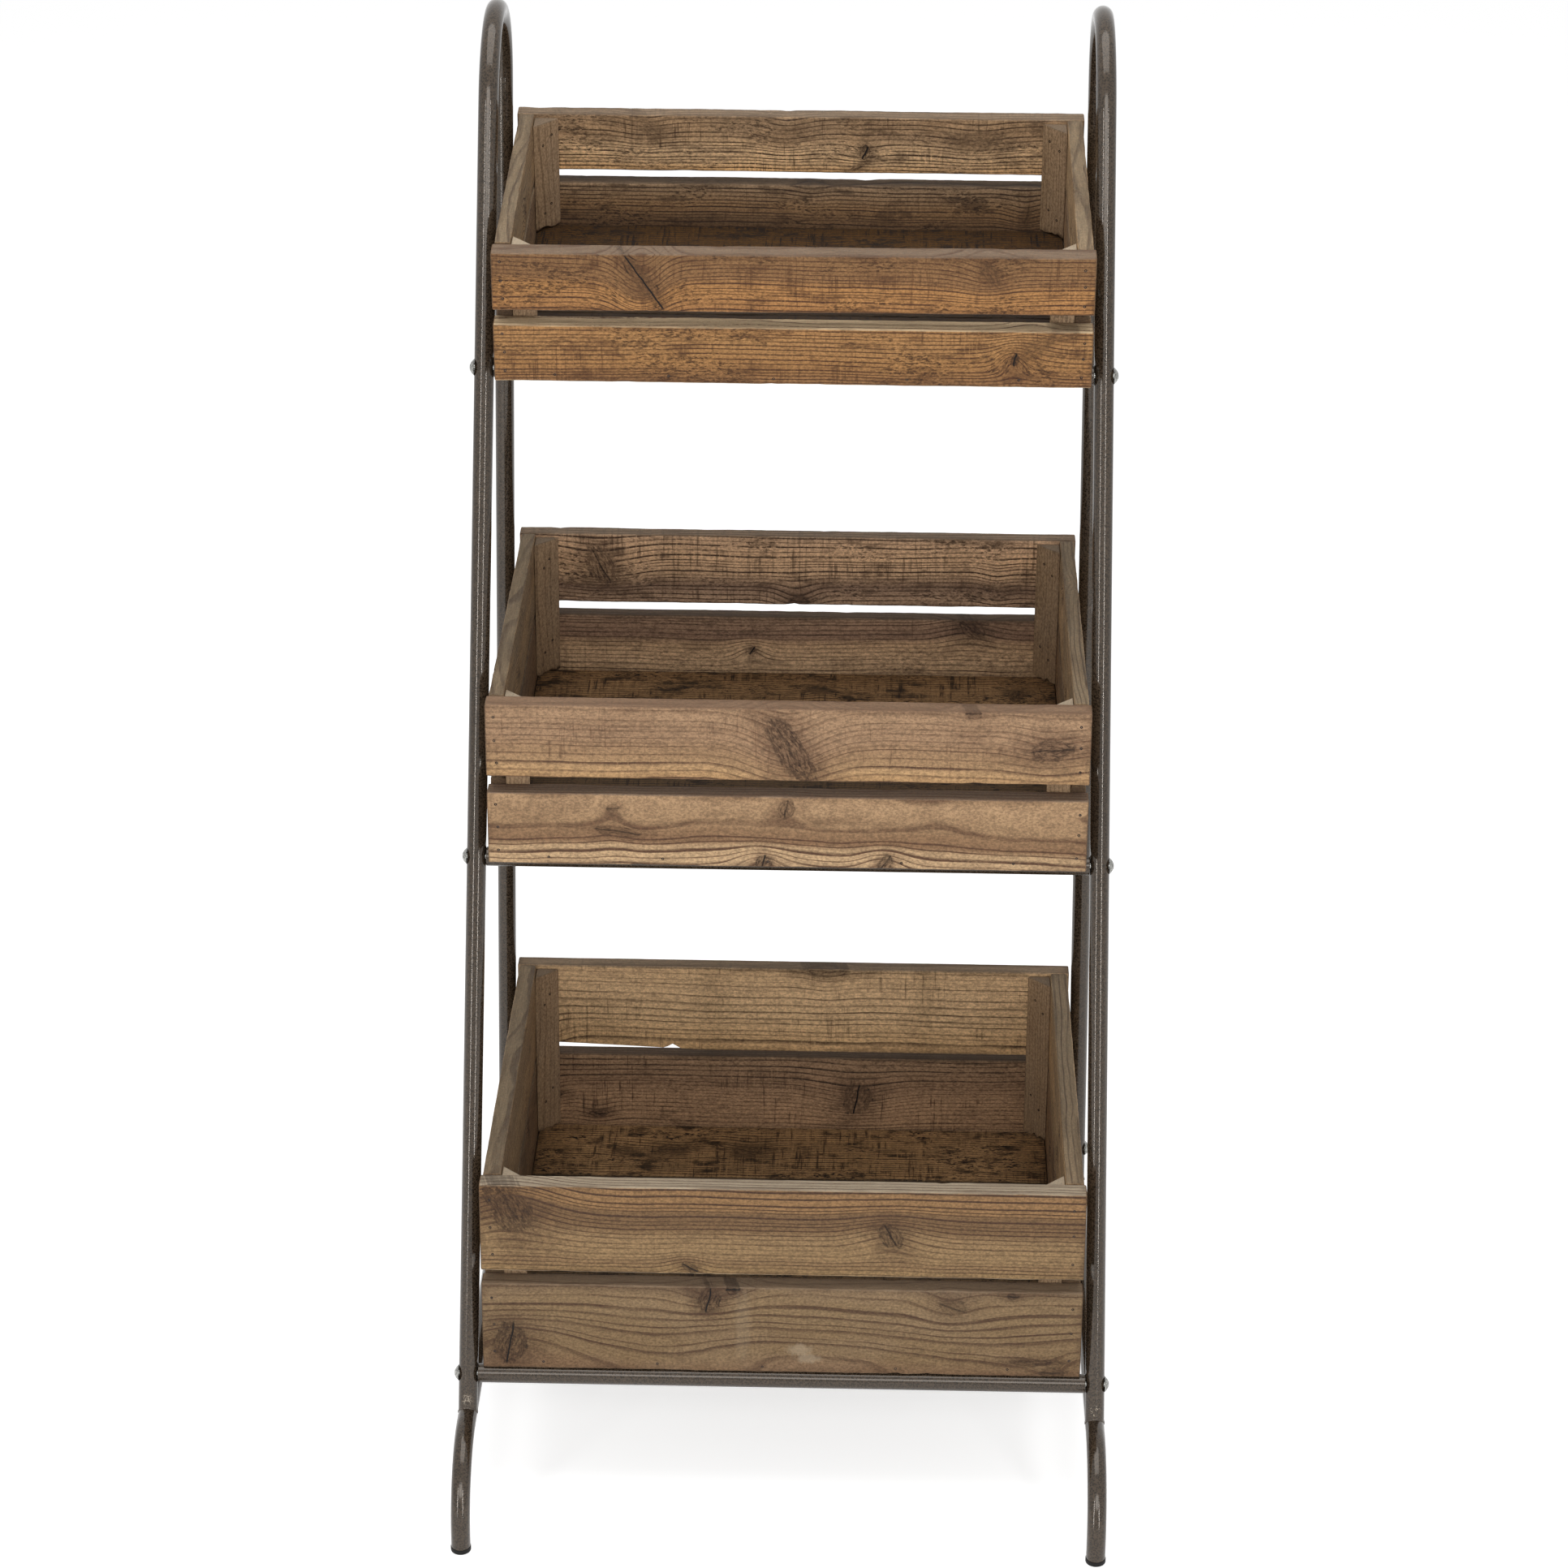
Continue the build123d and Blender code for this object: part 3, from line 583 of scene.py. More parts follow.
# Pith: the log's middle in mm, through the board and across it, and its slope along the board.
# Bands: how far down the board, the wood's light tone there, and how strong its ring lines are.
# Knots: place from the left and from the top as shares, radius in mm, stretch, angle in
# degrees, push of the rings in mm, how open its crack is, and how dark it is.
# Paint: place from the left and from the top as shares, half size in mm, and how well it covers.
BOARDS = {
    "top_front_upper": dict(
        tone="amber", pith=(22, -75, 0.004), gain=0.97, saw=1.1, rough=1,
        bands=[(0, (134, 100, 66), 0.6), (0.2, (140, 104, 68), 0.6), (0.42, (140, 103, 67), 0.9),
            (0.56, (172, 125, 76), 0.85), (0.8, (174, 126, 77), 1), (1, (160, 114, 70), 0.9)],
        knots=[(0.249, 0.5, 6.4, 4.6, -56.6, 20, 1, 0.75), (0.819, 0.27, 5.6, 2.5, -56, 6, 0, 0.75),
            (0.06, 0.3, 9, 3, 0, 0, 0, 0.3), (0.62, 0.2, 5, 1.6, 80, 0, 0, 0.35)]),
    "top_front_lower": dict(
        # Its pale grey and strong edge share are painted light on the narrow top face, which the upper board keeps in
        # shade
        tone="amber", pith=(18, 80, -0.004), gain=0.96, saw=1.2, rough=1, grey=linear(222, 196, 158), edge_grey=0.95,
        bands=[(0, (170, 126, 79), 0.9), (0.3, (170, 127, 80), 0.8), (0.6, (166, 122, 75), 1),
            (0.85, (146, 106, 67), 1), (1, (148, 109, 72), 0.7)],
        knots=[(0.866, 0.5, 2.8, 2.2, 78, 12, 1, 1), (0.9, 0.3, 6, 3, 38, 4, 0, 0.7),
            (0.95, 0.04, 5, 2.6, 5, 0, 0, 0.8), (0.3, 0.97, 4, 8, 0, 0, 0, 0.38)]),
    "top_back_upper": dict(
        tone="drab", pith=(28, 60, 0.004), gain=1.33, wave=1.6, saw=1.4, rough=0.9, greyness=0.2,
        bands=[(0, (136, 110, 82), 0.6), (0.35, (134, 108, 80), 0.7), (0.6, (172, 142, 107), 0.9),
            (0.85, (168, 137, 101), 1), (1, (180, 139, 92), 0.9)],
        knots=[(0.225, 0.18, 7, 3, -30, -4, 0, 0.6), (0.611, 0.62, 4.6, 1.4, 70, -3, 1, 1),
            (0.597, 0.88, 2.4, 2.6, 20, 0, 0, 0.9), (0.475, 0.3, 7, 2.2, 10, -5, 0, 0.5),
            (0.81, 0.4, 10, 1.8, 10, -4, 0, 0.62), (0.62, 0.12, 6, 14, 0, 0, 0, 0.38)]),
    "top_back_lower": dict(
        tone="umber", pith=(24, -70, 0.005), gain=1.14, wave=2, rough=1, greyness=0.1,
        # Its bands turn darker towards the bottom: painted shade, where the front wall shades it
        bands=[(0, (146, 121, 94), 0.8), (0.4, (132, 102, 71), 1), (0.7, (106, 81, 57), 0.9),
            (1, (88, 65, 45), 0.8)],
        knots=[(0.52, 0.02, 3.6, 3.6, 0, 3, 0, 0.6), (0.9, 0.5, 4, 2.6, 80, 5, 0.3, 0.6),
            (0.27, 0.8, 9, 5, 0, 0, 0, 0.4)]),
    "middle_front_upper": dict(
        tone="tan", pith=(34, -90, 0.006), gain=0.96, ring=5.2, saw=1, rough=0.25, grey=linear(144, 116, 92),
        bands=[(0, (168, 136, 105), 0.3), (0.4, (162, 130, 100), 0.45), (0.56, (158, 126, 94), 0.55),
            (0.74, (168, 135, 99), 0.65), (0.84, (186, 150, 108), 0.35), (1, (186, 147, 102), 0.6)],
        knots=[(0.502, 0.6, 12.5, 2.8, -60, 20, 0.3, 1), (0.8, 0.03, 4.6, 1.4, 0, 4, 0.8, 0.75),
            (0.8, 0.2, 9, 1.4, 80, 0, 0, 0.35), (0.93, 0.52, 9, 2.2, 5, 6, 0.6, 0.95),
            (0.955, 0.8, 6, 1.6, 70, 0, 0, 0.5), (0.2, 0.3, 7, 2.6, 5, 0, 0, 0.3)]),
    "middle_front_lower": dict(
        tone="tan", pith=(40, 22, 0.012), gain=0.97, ring=4.6, wave=6, saw=0.3, rough=0.15,
        grey=linear(128, 110, 94),
        bands=[(0, (168, 136, 102), 0.8), (0.14, (172, 140, 106), 0.55), (0.42, (160, 129, 96), 0.6),
            (0.52, (144, 113, 83), 0.7), (0.68, (134, 103, 75), 0.9), (0.76, (186, 155, 118), 0.6),
            (1, (196, 164, 126), 0.55)],
        knots=[(0.494, 0.17, 7, 1.2, 80, 3, 0.6, 0.9), (0.204, 0.2, 4.4, 1.3, 0, 2, 0.5, 0.7),
            (0.21, 0.52, 4.6, 4.6, -8, 2, 0.6, 0.75), (0.457, 0.94, 6, 1.2, 80, 10, 1, 0.95),
            (0.66, 0.92, 5.6, 1.6, 60, 8, 0.6, 0.95), (0.565, 0.34, 2.4, 10, -1, 0, 0, 0.55),
            (0.07, 0.24, 7, 2.4, 0, 0, 0, 0.38)]),
    "middle_back_upper": dict(
        tone="drab", pith=(30, 70, 0.006), gain=1.34, saw=1.3, rough=1,
        bands=[(0, (150, 122, 96), 0.7), (0.3, (160, 129, 99), 0.8), (0.55, (148, 120, 93), 1),
            (0.72, (103, 82, 66), 0.8), (0.9, (135, 110, 88), 0.7), (1, (127, 102, 82), 0.7)],
        knots=[(0.142, 0.46, 13, 1.4, -62, -8, 0.6, 0.95), (0.5, 0.95, 6, 1.6, 0, -9, 0.6, 0.9),
            (0.86, 0.72, 3, 9, -6, -3, 0, 0.5)]),
    "middle_back_lower": dict(
        tone="umber", pith=(36, -60, -0.006), gain=1.42, rough=0.5,
        bands=[(0, (115, 92, 73), 0.5), (0.3, (103, 81, 65), 0.7), (0.42, (141, 115, 88), 0.4),
            (0.7, (147, 122, 95), 0.6), (1, (121, 97, 73), 0.5)],
        knots=[(0.416, 0.5, 4, 1.1, 60, -7, 1, 0.9), (0.815, 0.14, 8.5, 1.7, -30, -7, 0.3, 0.9)]),
    "bottom_front_upper": dict(
        tone="olive", pith=(30, 66, 0), gain=0.96, ring=3.6, wave=2.2, saw=0.5, rough=0.15,
        grey=linear(184, 168, 144), edge_grey=0.95,
        bands=[(0, (148, 114, 78), 1), (0.25, (148, 114, 77), 1), (0.3, (120, 93, 65), 0.9),
            (0.48, (122, 95, 66), 1), (0.57, (150, 122, 87), 0.45), (0.8, (152, 124, 88), 0.4),
            (0.88, (140, 112, 79), 0.6), (1, (152, 124, 85), 0.4)],
        knots=[(0.045, 0.24, 17, 1.7, -60, 14, 0.3, 0.95), (0.677, 0.53, 10, 1.3, -60, 9, 0.7, 0.95),
            (0.343, 0.92, 4.4, 1.8, -30, 6, 0.8, 0.9)]),
    "bottom_front_lower": dict(
        tone="olive", pith=(44, -48, -0.012), gain=0.97, ring=6, wave=9, saw=0.4, rough=0.15, greyness=0.15,
        grey=linear(150, 128, 104),
        bands=[(0, (108, 87, 66), 0.4), (0.12, (137, 113, 83), 0.4), (0.35, (135, 111, 80), 0.5),
            (0.6, (131, 107, 77), 0.65), (0.85, (129, 105, 75), 0.4), (1, (124, 97, 71), 0.4)],
        knots=[(0.374, 0.15, 10, 1.2, 80, 10, 1, 1), (0.414, 0.03, 5, 1.3, 0, 4, 1, 1),
            (0.042, 0.72, 16, 1.15, 80, -10, 1, 1), (0.92, 0.83, 3.2, 8, 0, 0, 0, 0.95),
            (0.95, 0.95, 6, 1.8, 0, 4, 0.5, 0.8), (0.78, 0.2, 8, 1.5, -20, 6, 0.5, 0.7),
            (0.88, 0.05, 3.4, 1.6, 0, 2, 0.8, 0.9)],
        paint=[(0.435, 0.45, 8, 44, 0.12), (0.53, 0.72, 12, 7, 0.4), (0.545, 0.83, 11, 5, 0.4)]),
    "bottom_back_upper": dict(
        tone="drab", pith=(30, -70, 0.01), gain=1.3, ring=5.5, saw=1, rough=0.2,
        bands=[(0, (154, 127, 95), 0.4), (0.3, (164, 136, 103), 0.35), (0.6, (164, 136, 102), 0.45),
            (1, (160, 129, 92), 0.5)],
        knots=[(0.56, 0.02, 5.5, 4, 0, 5, 0.2, 0.9), (0.02, 0.85, 9, 1.6, 40, 14, 0, 0.5)]),
    "bottom_back_lower": dict(
        tone="umber", pith=(26, 64, -0.004), gain=1.34, saw=1.5, rough=0.5,
        bands=[(0, (122, 98, 75), 0.6), (0.3, (118, 93, 71), 0.6), (0.5, (137, 109, 83), 0.4),
            (0.8, (135, 107, 81), 0.5), (1, (128, 101, 75), 0.6)],
        knots=[(0.615, 0.5, 14, 1.15, 80, -8, 1, 0.85), (0.055, 0.5, 4.4, 2.4, 0, -5, 0, 1),
            (0.14, 0.72, 4.2, 2.4, 0, -4, 0, 1)]),
    # The floors' tones are darkened as painted shade of each crate's inside
    "top_floor": dict(
        tone="shaded_floor", pith=(30, -70, 0.004), gain=0.84, saw=2.6, rough=1.6,
        bands=[(0, (96, 65, 28), 1), (1, (96, 65, 28), 1)],
        knots=[(0.552, 0.3, 7, 1.5, 80, 6, 0.5, 0.9), (0.66, 0.35, 6, 1.5, 60, 6, 0.3, 0.8)]),
    "middle_floor": dict(
        tone="shaded_floor", pith=(28, 72, -0.004), gain=1.3, saw=1.8, rough=1.4,
        bands=[(0, (126, 98, 67), 0.9), (1, (126, 98, 67), 0.9)],
        knots=[(0.93, 0.3, 6, 1.5, 80, 6, 0.5, 0.9), (0.55, 0.25, 5, 2, 0, 6, 0.3, 0.7)]),
    "bottom_floor": dict(
        tone="shaded_floor", pith=(30, -66, 0.004), gain=1.48, saw=1.6, rough=1.5, greyness=0.2,
        bands=[(0, (126, 100, 70), 0.8), (1, (126, 100, 70), 0.8)],
        knots=[(0.27, 0.3, 10, 1.5, 10, 8, 0.4, 0.9), (0.42, 0.34, 10, 1.5, -10, 8, 0.4, 0.95),
            (0.18, 0.6, 6, 1.5, 0, 5, 0.4, 0.8)]),
}
SIDE_TONES = (("lower", "umber", (132, 105, 78)), ("upper", "drab", (154, 126, 93)))
SIDE_SEED = 400
KNOT_RANGES = ((0.1, 0.9), (0.15, 0.85), (3, 7), (1.2, 2.4), (-60, 60), (6, 12), (0, 0.8))
for index, level in enumerate(CRATES):
    for turn, side in enumerate(("left", "right")):
        for row, (name, tone, light) in enumerate(SIDE_TONES):
            pick = np.random.default_rng(SIDE_SEED + 10 * index + 2 * turn + row)
            BOARDS[f"{level}_{side}_{name}"] = dict(
                tone=tone, bands=plain_bands(light), wave=6, grey=linear(136, 120, 97),
                gain=1.1 if side == "left" else 1.3,
                pith=(pick.uniform(15, 40), pick.choice((-1, 1)) * pick.uniform(45, 80), pick.uniform(-0.01, 0.01)),
                greyness=pick.uniform(0.2, 0.5),
                knots=[(*(pick.uniform(*limits) for limits in KNOT_RANGES), 0.8) for _ in range(2)],
            )


def look_of(name):
    board = BOARDS[name.removeprefix("crate_")]
    return {**DEFAULT_LOOK, **TONES[board["tone"]], **board}


# ---- Boards and posts ----

SKEW, LIGHT_WEAR = 0.004, 0.25
NOTCH_PLACE, NOTCH_HALF, NOTCH_RISE = 0.14, 0.0095, 0.0058
DENT_REACH, CRACK_DENT, KNOT_SWELL = 1.3, 0.0004, -0.00012
POST_STEP, POST_CUT, POST_HALF, POST_INNER, POST_SWAY = 0.004, 0.0011, 0.011, 0.007, 0.00006
TOOTH_LEAST, TOOTH_MORE, TOOTH_FADE = 0.0002, 0.0042, 0.004
# Share of a floor's tone kept in its rows before the rear one: painted shade, as under the front wall
ROW_SHADE_GAIN = 0.6
numbers = itertools.count(101)


def wane(s):
    """Height of the worn edge above the board's lower edge, along the board."""
    taper = WANE_RISE * np.clip(1 - s / WANE_LENGTH, 0, 1) ** 0.85
    notch = NOTCH_RISE * np.clip(1 - np.abs(s - NOTCH_PLACE) / NOTCH_HALF, 0, 1)
    return np.maximum(taper, notch)


def floor_rows(crate):
    """Where each floor board starts and how deep it is, from the front to the back."""
    start = crate["front"] + FRONT_THICK + FLOOR_FIT
    room = crate["depth"] - FRONT_THICK - BACK_THICK - 2 * FLOOR_FIT
    count = int(room // FLOOR_WIDEST) + 1
    deep = (room - (count - 1) * FLOOR_GAP) / count
    return [(start + i * (deep + FLOOR_GAP), deep) for i in range(count)]


def make_board(name, low, high, along):
    look, number, level = look_of(name), next(numbers), name.split("_")[1]
    dents = [(u, v, DENT_REACH * size * MM, CRACK_DENT if split > 0.5 else KNOT_SWELL)
             for u, v, size, _, _, _, split, _ in look["knots"]]
    rings, places, half = plank_rings(
        number, low, high, along, LIGHT_WEAR if name.startswith("crate_bottom_back") else 1.0, dents,
        wane if name == "crate_bottom_back_upper" else None,
    )
    if name == "crate_top_front_upper":
        rings[..., 2] += (rings[..., 0] - rings[..., 0].mean()) * SKEW
    material = wood_material(name, look, half / MM)
    piece = skin("wood_" + name, level, f"wood_{level}", number, material, rings, places, half)
    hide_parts(name)
    return piece


def merge(name, node, level, slot, parts):
    """Several closed pieces in one mesh, in place of one node. Each part brings its number, material and rings."""
    made = [skin(f"{name}_{i}", level, slot, *part) for i, part in enumerate(parts)]
    with bpy.context.temp_override(active_object=made[0], selected_editable_objects=made, object=made[0]):
        bpy.ops.object.join()
    made[0].name = made[0].data.name = name
    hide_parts(node)
    return made[0]


def post_rings(number, corner, sign, inward, low, high):
    """Rings of a three-cornered post whose right angle sits in a crate's corner."""
    rng, length = np.random.default_rng(number), high - low
    count = round(length / POST_STEP)
    s = np.concatenate(([0, 0.0006], np.linspace(0.0016, length - 0.0016, count), [length - 0.0005, length]))
    inset = np.concatenate(([0.0006, 0.0002], np.zeros(count), [0.00015, 0.0005]))
    sharp = np.array(((0, 0), (-sign * POST_LEG, 0), (0, inward * POST_LEG)))
    centre = sharp.mean(0)
    loop = []
    for i, here in enumerate(sharp):
        span = sharp[(i + 1) % 3] - here
        back, ahead, size = unit(sharp[i - 1] - here), unit(span), np.linalg.norm(span)
        for k in np.linspace(0, 1, 4):
            loop.append(here + ((1 - k) ** 2 * back + k**2 * ahead) * POST_CUT)
        for share in spread(size - 2 * POST_CUT, POST_STEP)[1:-1]:
            loop.append(here + ahead * (POST_CUT + share * (size - 2 * POST_CUT)))
    loop = np.array(loop)
    rings = np.empty((len(s), len(loop), 3))
    rings[..., :2] = loop + (centre - loop) * (inset[:, None, None] / POST_INNER)
    # The sawn foot is ragged: splinters of different lengths
    tooth = rng.random(len(loop) + 2)[:-2]
    rings[..., 2] = low + s[:, None] + np.exp(-s / TOOTH_FADE)[:, None] * (TOOTH_LEAST + TOOTH_MORE * tooth**2)
    rings[..., :2] += corner
    sway = POST_SWAY * waves(rng, 0.02, rings[..., 2], rings[..., 0])
    rings[..., :2] += sway[..., None] * unit(centre)
    middle = np.array((*(corner + centre), (low + high) / 2))
    # Along the post, through it and across it
    return rings, (rings - middle)[..., ::-1], np.array((length / 2, POST_HALF, POST_HALF))


board_pieces = {}
for level, crate in CRATES.items():
    half, height = crate["half"], crate["height"]
    made = board_pieces[level] = []
    for wall, wall_y, thick, gap in (
        ("front", crate["front"], FRONT_THICK, crate["gaps"][0]),
        ("back", crate["back"] - BACK_THICK, BACK_THICK, crate["gaps"][1]),
    ):
        tall = (height - gap) / 2
        for row, base in (("lower", 0), ("upper", tall + gap)):
            made.append(make_board(f"crate_{level}_{wall}_{row}", (-half, wall_y, base),
                                   (half, wall_y + thick, base + tall), 0))
    start, stop = crate["front"] + FRONT_THICK + JOINT, crate["back"] - BACK_THICK - JOINT
    tall = (height - SIDE_GAP) / 2
    outer = half - SIDE_INSET
    inner = outer - crate["side"]
    for side, xs in (("left", (-outer, -inner)), ("right", (inner, outer))):
        for row, base in (("lower", 0), ("upper", tall + SIDE_GAP)):
            made.append(make_board(f"crate_{level}_{side}_{row}", (xs[0], start, base), (xs[1], stop, base + tall), 1))
    name, rows, reach = f"crate_{level}_floor", floor_rows(crate), inner - FLOOR_FIT
    look = look_of(name)
    # The knots of a floor keep to the middle of its rear row, which is the one that shows
    size = np.array((reach, rows[0][1] / 2, FLOOR_THICK / 2)) / MM
    rear_row_wood = wood_material(name, look, size)
    # The rows before the rear one get a darker copy of the same wood: painted shade where the front wall keeps light
    # from them
    shaded_rows = wood_material(name + "_shaded_rows", {**look, "gain": ROW_SHADE_GAIN * look["gain"], "knots": []}, size)
    parts = []
    for row_start, deep in rows:
        number = next(numbers)
        low, high = (-reach, row_start, 0), (reach, row_start + deep, FLOOR_THICK)
        material = shaded_rows if row_start < rows[-1][0] else rear_row_wood
        parts.append((number, material, *plank_rings(number, low, high, 0)))
    made.append(merge("wood_" + name, name, level, f"wood_{level}", parts))
    front_post = wood_material(f"front_posts_{level}", POST_LOOK)
    rear_post = wood_material(f"rear_posts_{level}", REAR_POST_LOOK)
    parts = []
    for sign in (-1, 1):
        for wall_y, inward, material in ((start, 1, front_post), (stop, -1, rear_post)):
            number, corner = next(numbers), np.array((sign * (inner - JOINT), wall_y))
            parts.append((number, material, *post_rings(number, corner, sign, inward, FLOOR_THICK + JOINT,
                                                        height - POST_DROP)))
    made.append(merge(f"wood_crate_{level}_posts", f"crate_{level}_corner_posts", level, "post_wood", parts))


# ---- Nails ----

BRAD_RADIUS, BRAD_AROUND, BRAD_STRAY, BRAD_DISH = 0.0012, 14, 0.0011, 0.00006
# Each ring of a head: its radius as a share of the head's, and its height over the wood
BRAD_PROFILE = ((1.3, -0.0006), (1.0, 0.00005), (0.8, 0.00012), (0.4, 0.00002))
RAY_START, RAY_LENGTH = 0.012, 0.03
BRAD_SEED = 77


def brad_places(crate):
    """Where brads go in and the way each faces out of the wood, in the crate's own plane."""
    half, height = crate["half"], crate["height"]
    wall_x = half - SIDE_INSET - crate["side"]
    board_x = wall_x + crate["side"] / 2
    for wall_y, out, gap in ((crate["front"], -1, crate["gaps"][0]), (crate["back"], 1, crate["gaps"][1])):
        tall = (height - gap) / 2
        for base in (0, tall + gap):
            for share in BOARD_BRADS:
                for x in (-board_x, board_x):
                    yield (x, wall_y, base + share * tall), (0, out, 0)
        for share in FLOOR_BRADS:
            yield (2 * share * half, wall_y, FLOOR_THICK / 2), (0, out, 0)
    for sign in (-1, 1):
        for start, deep in floor_rows(crate):
            yield (sign * (half - SIDE_INSET), start + deep / 2, FLOOR_THICK / 2), (sign, 0, 0)
    near, far = POST_BRAD_SHARE * POST_LEG, (1 - POST_BRAD_SHARE) * POST_LEG
    for sign in (-1, 1):
        for wall_y, inward in ((crate["front"] + FRONT_THICK, 1), (crate["back"] - BACK_THICK, -1)):
            for share in POST_SIDE_BRADS:
                yield (sign * (wall_x - far), wall_y + inward * near, share * height), (-sign, 0, 0)
            for share in POST_WALL_BRADS:
                yield (sign * (wall_x - near), wall_y + inward * far, share * height), (0, inward, 0)


brad_steel, net, shader = new_material("brad_steel")
rust = net.noise(net.place_mm(), 0.9, 3.0).step(0.42, 0.6)
net.give(shader, Base_Color=net.mix(rust, linear(58, 50, 46), linear(40, 26, 18)), Roughness=mad(rust, 0.3, 0.45),
         Metallic=0.6)

for level, crate in CRATES.items():
    rng = np.random.default_rng(BRAD_SEED)
    meshes = [piece.data for piece in board_pieces[level]]
    trees = [BVHTree.FromPolygons([v.co for v in m.vertices], [p.vertices for p in m.polygons]) for m in meshes]
    points, faces = [], []
    turn = crate["matrix"].to_3x3()
    for place, way in brad_places(crate):
        stray = Vector(rng.uniform(-BRAD_STRAY, BRAD_STRAY, 3))
        out = (turn @ Vector(way)).normalized()
        start = crate["matrix"] @ (Vector(place) + stray) + out * RAY_START
        found = [tree.ray_cast(start, -out, RAY_LENGTH) for tree in trees]
        found = [f for f in found if f[0] is not None]
        if not found:
            continue
        hit, normal, _, _ = min(found, key=lambda f: f[3])
        if normal.dot(out) < 0:
            normal = -normal
        side = normal.orthogonal().normalized()
        other = normal.cross(side)
        base = len(points)
        for share, lift in BRAD_PROFILE:
            for k in range(BRAD_AROUND):
                angle = 2 * math.pi * k / BRAD_AROUND
                ray = side * math.cos(angle) + other * math.sin(angle)
                points.append(hit + normal * lift + ray * (BRAD_RADIUS * share))
        points.append(hit - normal * BRAD_DISH)
        for k in range(BRAD_AROUND):
            a, b = base + k, base + (k + 1) % BRAD_AROUND
            for _ in BRAD_PROFILE[1:]:
                faces.append((a, b, b + BRAD_AROUND, a + BRAD_AROUND))
                a, b = a + BRAD_AROUND, b + BRAD_AROUND
            faces.append((a, b, len(points) - 1))
    heads = add_mesh(f"brad_heads_{level}", [tuple(p) for p in points], faces, brad_steel)
    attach(heads, f"crate_{level}")
    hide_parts(f"crate_{level}_brads")


# ---- Steel frame ----

SCAR_PLACE, SCAR_INNER, SCAR_OUTER = (262.7, -208.0, 95.5), 4.0, 5.5

coat, net, shader = new_material("hammered_coat")
spot = net.place_mm()
cells = net.node("TexVoronoi", feature="SMOOTH_F1")
net.give(cells.inputs, Vector=spot, Scale=0.62, Smoothness=0.6)
dimple = net.out(cells, "Distance").step(0.1, 0.75)
fine = net.noise(spot, 0.85, 3, 0.7)
cloud = net.noise(spot, (0.02, 0.02, 0.012), 3)
tint = net.mix(mad(dimple, 0.4, fine * 0.7).step(0.34, 0.78), linear(27, 21, 15), linear(67, 56, 45))
tint = net.mix(cloud.step(0.4, 0.7, 0, 0.25), tint, linear(52, 44, 36))
# A scar of small pale cracks in the coat, above the weld at each front foot
x, y, z = net.split(spot)
scar = net.vector("LENGTH", net.vector("SUBTRACT", net.join(abs(x), y, z), SCAR_PLACE))
squiggle = abs(net.noise(spot, 0.32) - 0.5)
scar = scar.fall(SCAR_INNER, SCAR_OUTER) * squiggle.fall(0.012, 0.035)
net.give(shader, Base_Color=net.mix(scar, tint, linear(158, 146, 130)), Roughness=mad(fine, 0.08, 0.1),
         Normal=net.bump(dimple + fine * 0.6, 0.00002, 0.4), Specular_IOR_Level=0.55,
         Specular_Tint=(1, 0.92, 0.84, 1))

zinc, net, shader = new_material("bright_zinc")
spot = net.place_mm()
bloom = net.noise(spot, 0.7, 4, 0.6)
net.give(shader, Base_Color=net.mix(bloom.step(0.35, 0.7), linear(170, 170, 166), linear(96, 94, 90)),
         Roughness=mad(bloom, 0.25, 0.14), Normal=net.bump(net.noise(spot, 2.5), 0.00003, 0.5), Metallic=1)

cap, net, shader = new_material("moulded_cap")
grain = net.noise(net.place_mm(), 2.2, 3, 0.6)
net.give(shader, Base_Color=net.mix(grain.step(0.35, 0.7), linear(14, 14, 14), linear(28, 27, 26)),
         Roughness=mad(grain, 0.25, 0.45), Normal=net.bump(grain, 0.00006, 0.6), Specular_IOR_Level=0.2)

plug, net, shader = new_material("turned_steel")
lines = net.noise(net.place_mm(), (4, 0.3, 0.3), 3)
net.give(shader, Base_Color=net.mix(lines, linear(150, 148, 144), linear(104, 101, 96)),
         Roughness=mad(lines, 0.3, 0.25), Metallic=1)

SLOT_MATERIALS = {"frame_coat": coat, "bolt_zinc": zinc, "foot_cap": cap, "plug_steel": plug}
for part in frame["record"]["subparts"]:
    if part["material_slot"] in SLOT_MATERIALS:
        for holder in frame["nodes"][part["node"]].material_slots:
            holder.material = SLOT_MATERIALS[part["material_slot"]]


# ---- Weld beads, where each leg lands on its base tube ----

LEAN, RAKE = math.radians(0.95), math.radians(14.3)
BASE_X, BASE_Z, REAR_Y, FRONT_Y = 0.263, 0.080, 0.2075, -0.20343
BEAD_RADIUS, BEAD_STEPS, BEAD_AROUND = 0.001, 160, 10
BEAD_SINK, BEAD_LIFT, BEAD_FLAT, WELD_SEED = 0.95, 0.0001, 0.8, 900

weld, net, shader = new_material("weld_bead")
scale = net.noise(net.place_mm(), 0.9, 3.0)
net.give(shader, Base_Color=net.mix(scale.step(0.4, 0.65), linear(60, 52, 45), linear(104, 94, 84)),
         Roughness=mad(scale, 0.3, 0.3), Normal=net.bump(scale, 0.0001, 0.8), Metallic=0.35)

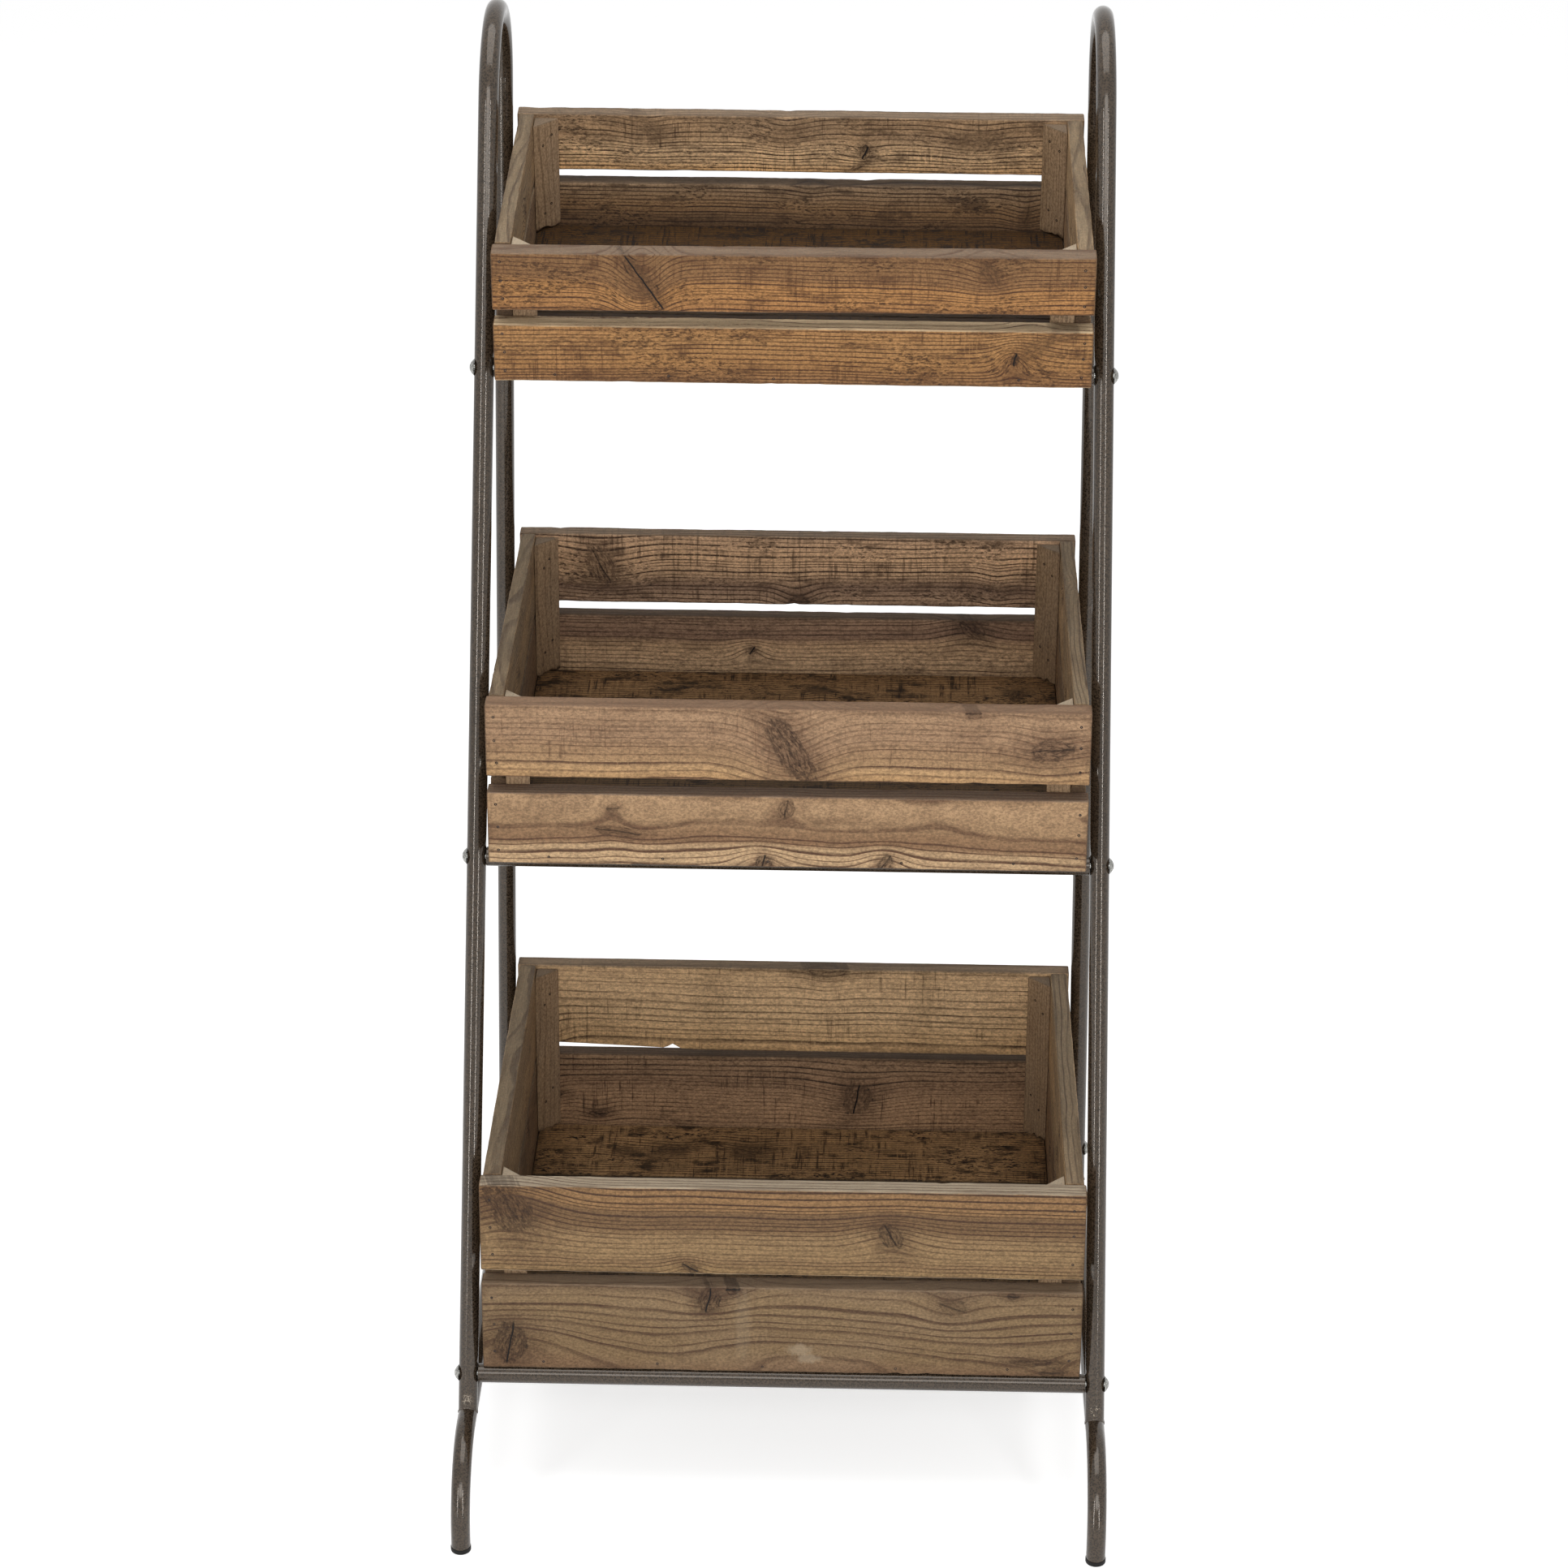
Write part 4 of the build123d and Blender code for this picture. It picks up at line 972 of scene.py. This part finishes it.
for side, sign in (("left", -1), ("right", 1)):
    for place, foot_y, rake in (("front", FRONT_Y, RAKE), ("rear", REAR_Y, 0.0)):
        rng = np.random.default_rng(WELD_SEED + (sign > 0) + 2 * (place == "rear"))
        up = np.array((-sign * math.sin(LEAN) * math.cos(rake), math.sin(rake), math.cos(LEAN) * math.cos(rake)))
        side_way = unit(np.array((1, 0, 0)) - up * up[0])
        origin = np.array((sign * BASE_X, foot_y, BASE_Z))
        step = np.arange(BEAD_STEPS)
        angle = (2 * math.pi * step / BEAD_STEPS)[:, None]
        ray = (side_way * np.cos(angle) + np.cross(up, side_way) * np.sin(angle)) * TUBE_RADIUS
        # How far up the leg each line of it leaves the base tube
        rise = np.abs(ray[:, 1:2]) / (1 - up[1] * np.sign(ray[:, 1:2]))
        spine = origin + ray * BEAD_SINK + up * (rise + BEAD_LIFT)
        tangent = unit(np.roll(spine, -1, 0) - np.roll(spine, 1, 0))
        outward = spine - origin
        outward = unit(outward - (outward * tangent).sum(1)[:, None] * tangent)
        ripple = 1 + 0.12 * np.abs(np.sin(step * math.pi / 5)) + 0.06 * waves(rng, 30, step)
        around = (2 * math.pi * np.arange(BEAD_AROUND) / BEAD_AROUND)[:, None]
        ring = np.cos(around) * outward[:, None] * BEAD_FLAT + np.sin(around) * np.cross(tangent, outward)[:, None]
        points = spine[:, None] + ring * (BEAD_RADIUS * ripple)[:, None, None]
        index = np.arange(BEAD_STEPS * BEAD_AROUND).reshape(BEAD_STEPS, BEAD_AROUND)
        right, below = np.roll(index, -1, 1), np.roll(index, -1, 0)
        faces = np.stack((index, right, np.roll(right, -1, 0), below), -1).reshape(-1, 4).tolist()
        bead = add_mesh(f"weld_{place}_{side}", points.reshape(-1, 3).tolist(), faces, weld)
        first = bead.data.polygons[0]
        if (first.center - Vector(spine[0])).dot(first.normal) < 0:
            bead.data.flip_normals()
        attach(bead, "stand")


# ---- Floor, light and camera ----

FLOOR_GREY, FLOOR_GLOW = 0.8, 0.62
WORLD_LIGHT, WORLD_SHOWN = 0.42, 0.58
# Name, place, target, width, height and watts
SOFTBOXES = (
    ("key", (0, -3.7, 2.4), (0, 0, 0.6), 2.6, 1.3, 40),
    ("strip_left", (-1.75, -2.8, 0.95), (0, -0.1, 0.95), 0.09, 1.86, 21),
    ("strip_right", (1.45, -3.0, 0.95), (0, -0.1, 0.95), 0.09, 1.86, 21),
    ("overhead", (0, -0.2, 3.2), (0, 0, 0.6), 2.6, 2.2, 42),
)
FOCAL_PX, IMAGE_PX, SENSOR_MM = 5250, 1932, 36
# Angles in radians
PITCH, YAW, ROLL = 0.42644, -0.02065, 0.00695
CAMERA_PLACE = (0.06166, -3.23799, 2.04357)


def shown(net):
    """One for the rays that show the background: seen, mirrored or let through."""
    rays = net.node("LightPath")
    seen, mirrored, through = (net.out(rays, f"Is {kind} Ray") for kind in ("Camera", "Glossy", "Transmission"))
    return net.math("MAXIMUM", seen, net.math("MAXIMUM", mirrored, through))


floor_material = bpy.data.materials.new("studio_floor")
net = new_tree(floor_material)
plain, glow = net.node("BsdfDiffuse"), net.node("Emission")
net.give(plain.inputs, Color=(FLOOR_GREY, FLOOR_GREY, FLOOR_GREY, 1.0))
net.give(glow.inputs, Strength=shown(net) * FLOOR_GLOW)
both = net.fill(net.node("AddShader"), net.out(plain), net.out(glow))
net.give(net.node("OutputMaterial").inputs, Surface=net.out(both))
ground = [(-14, -10, 0), (14, -10, 0), (14, 22, 0), (-14, 22, 0)]
studio = add_mesh("studio_floor", ground, [(0, 1, 2, 3)], floor_material)

world = bpy.data.worlds.new("studio")
scene.world = world
net = new_tree(world)
background = net.node("Background")
net.give(background.inputs, Color=(1.0, 1.0, 1.0, 1.0), Strength=mad(shown(net), WORLD_SHOWN, WORLD_LIGHT))
net.give(net.node("OutputWorld").inputs, Surface=net.out(background))

for name, place, target, wide, tall, watts in SOFTBOXES:
    lamp = bpy.data.lights.new(name, "AREA")
    lamp.shape = "RECTANGLE"
    lamp.size, lamp.size_y, lamp.energy = wide, tall, watts
    holder = add_object(name, lamp)
    holder.location = place
    holder.rotation_euler = (Vector(target) - Vector(place)).to_track_quat("-Z", "Y").to_euler()

lens = bpy.data.cameras.new("camera")
lens.sensor_width = SENSOR_MM
lens.lens = SENSOR_MM * FOCAL_PX / IMAGE_PX
pose = Matrix.Translation(CAMERA_PLACE)
for angle, axis in ((-YAW, "Z"), (math.pi / 2 - PITCH, "X"), (ROLL, "Z")):
    pose = pose @ Matrix.Rotation(angle, 4, axis)
camera = add_object("camera", lens)
camera.matrix_world = pose
scene.camera = camera
scene.view_settings.view_transform = "Standard"
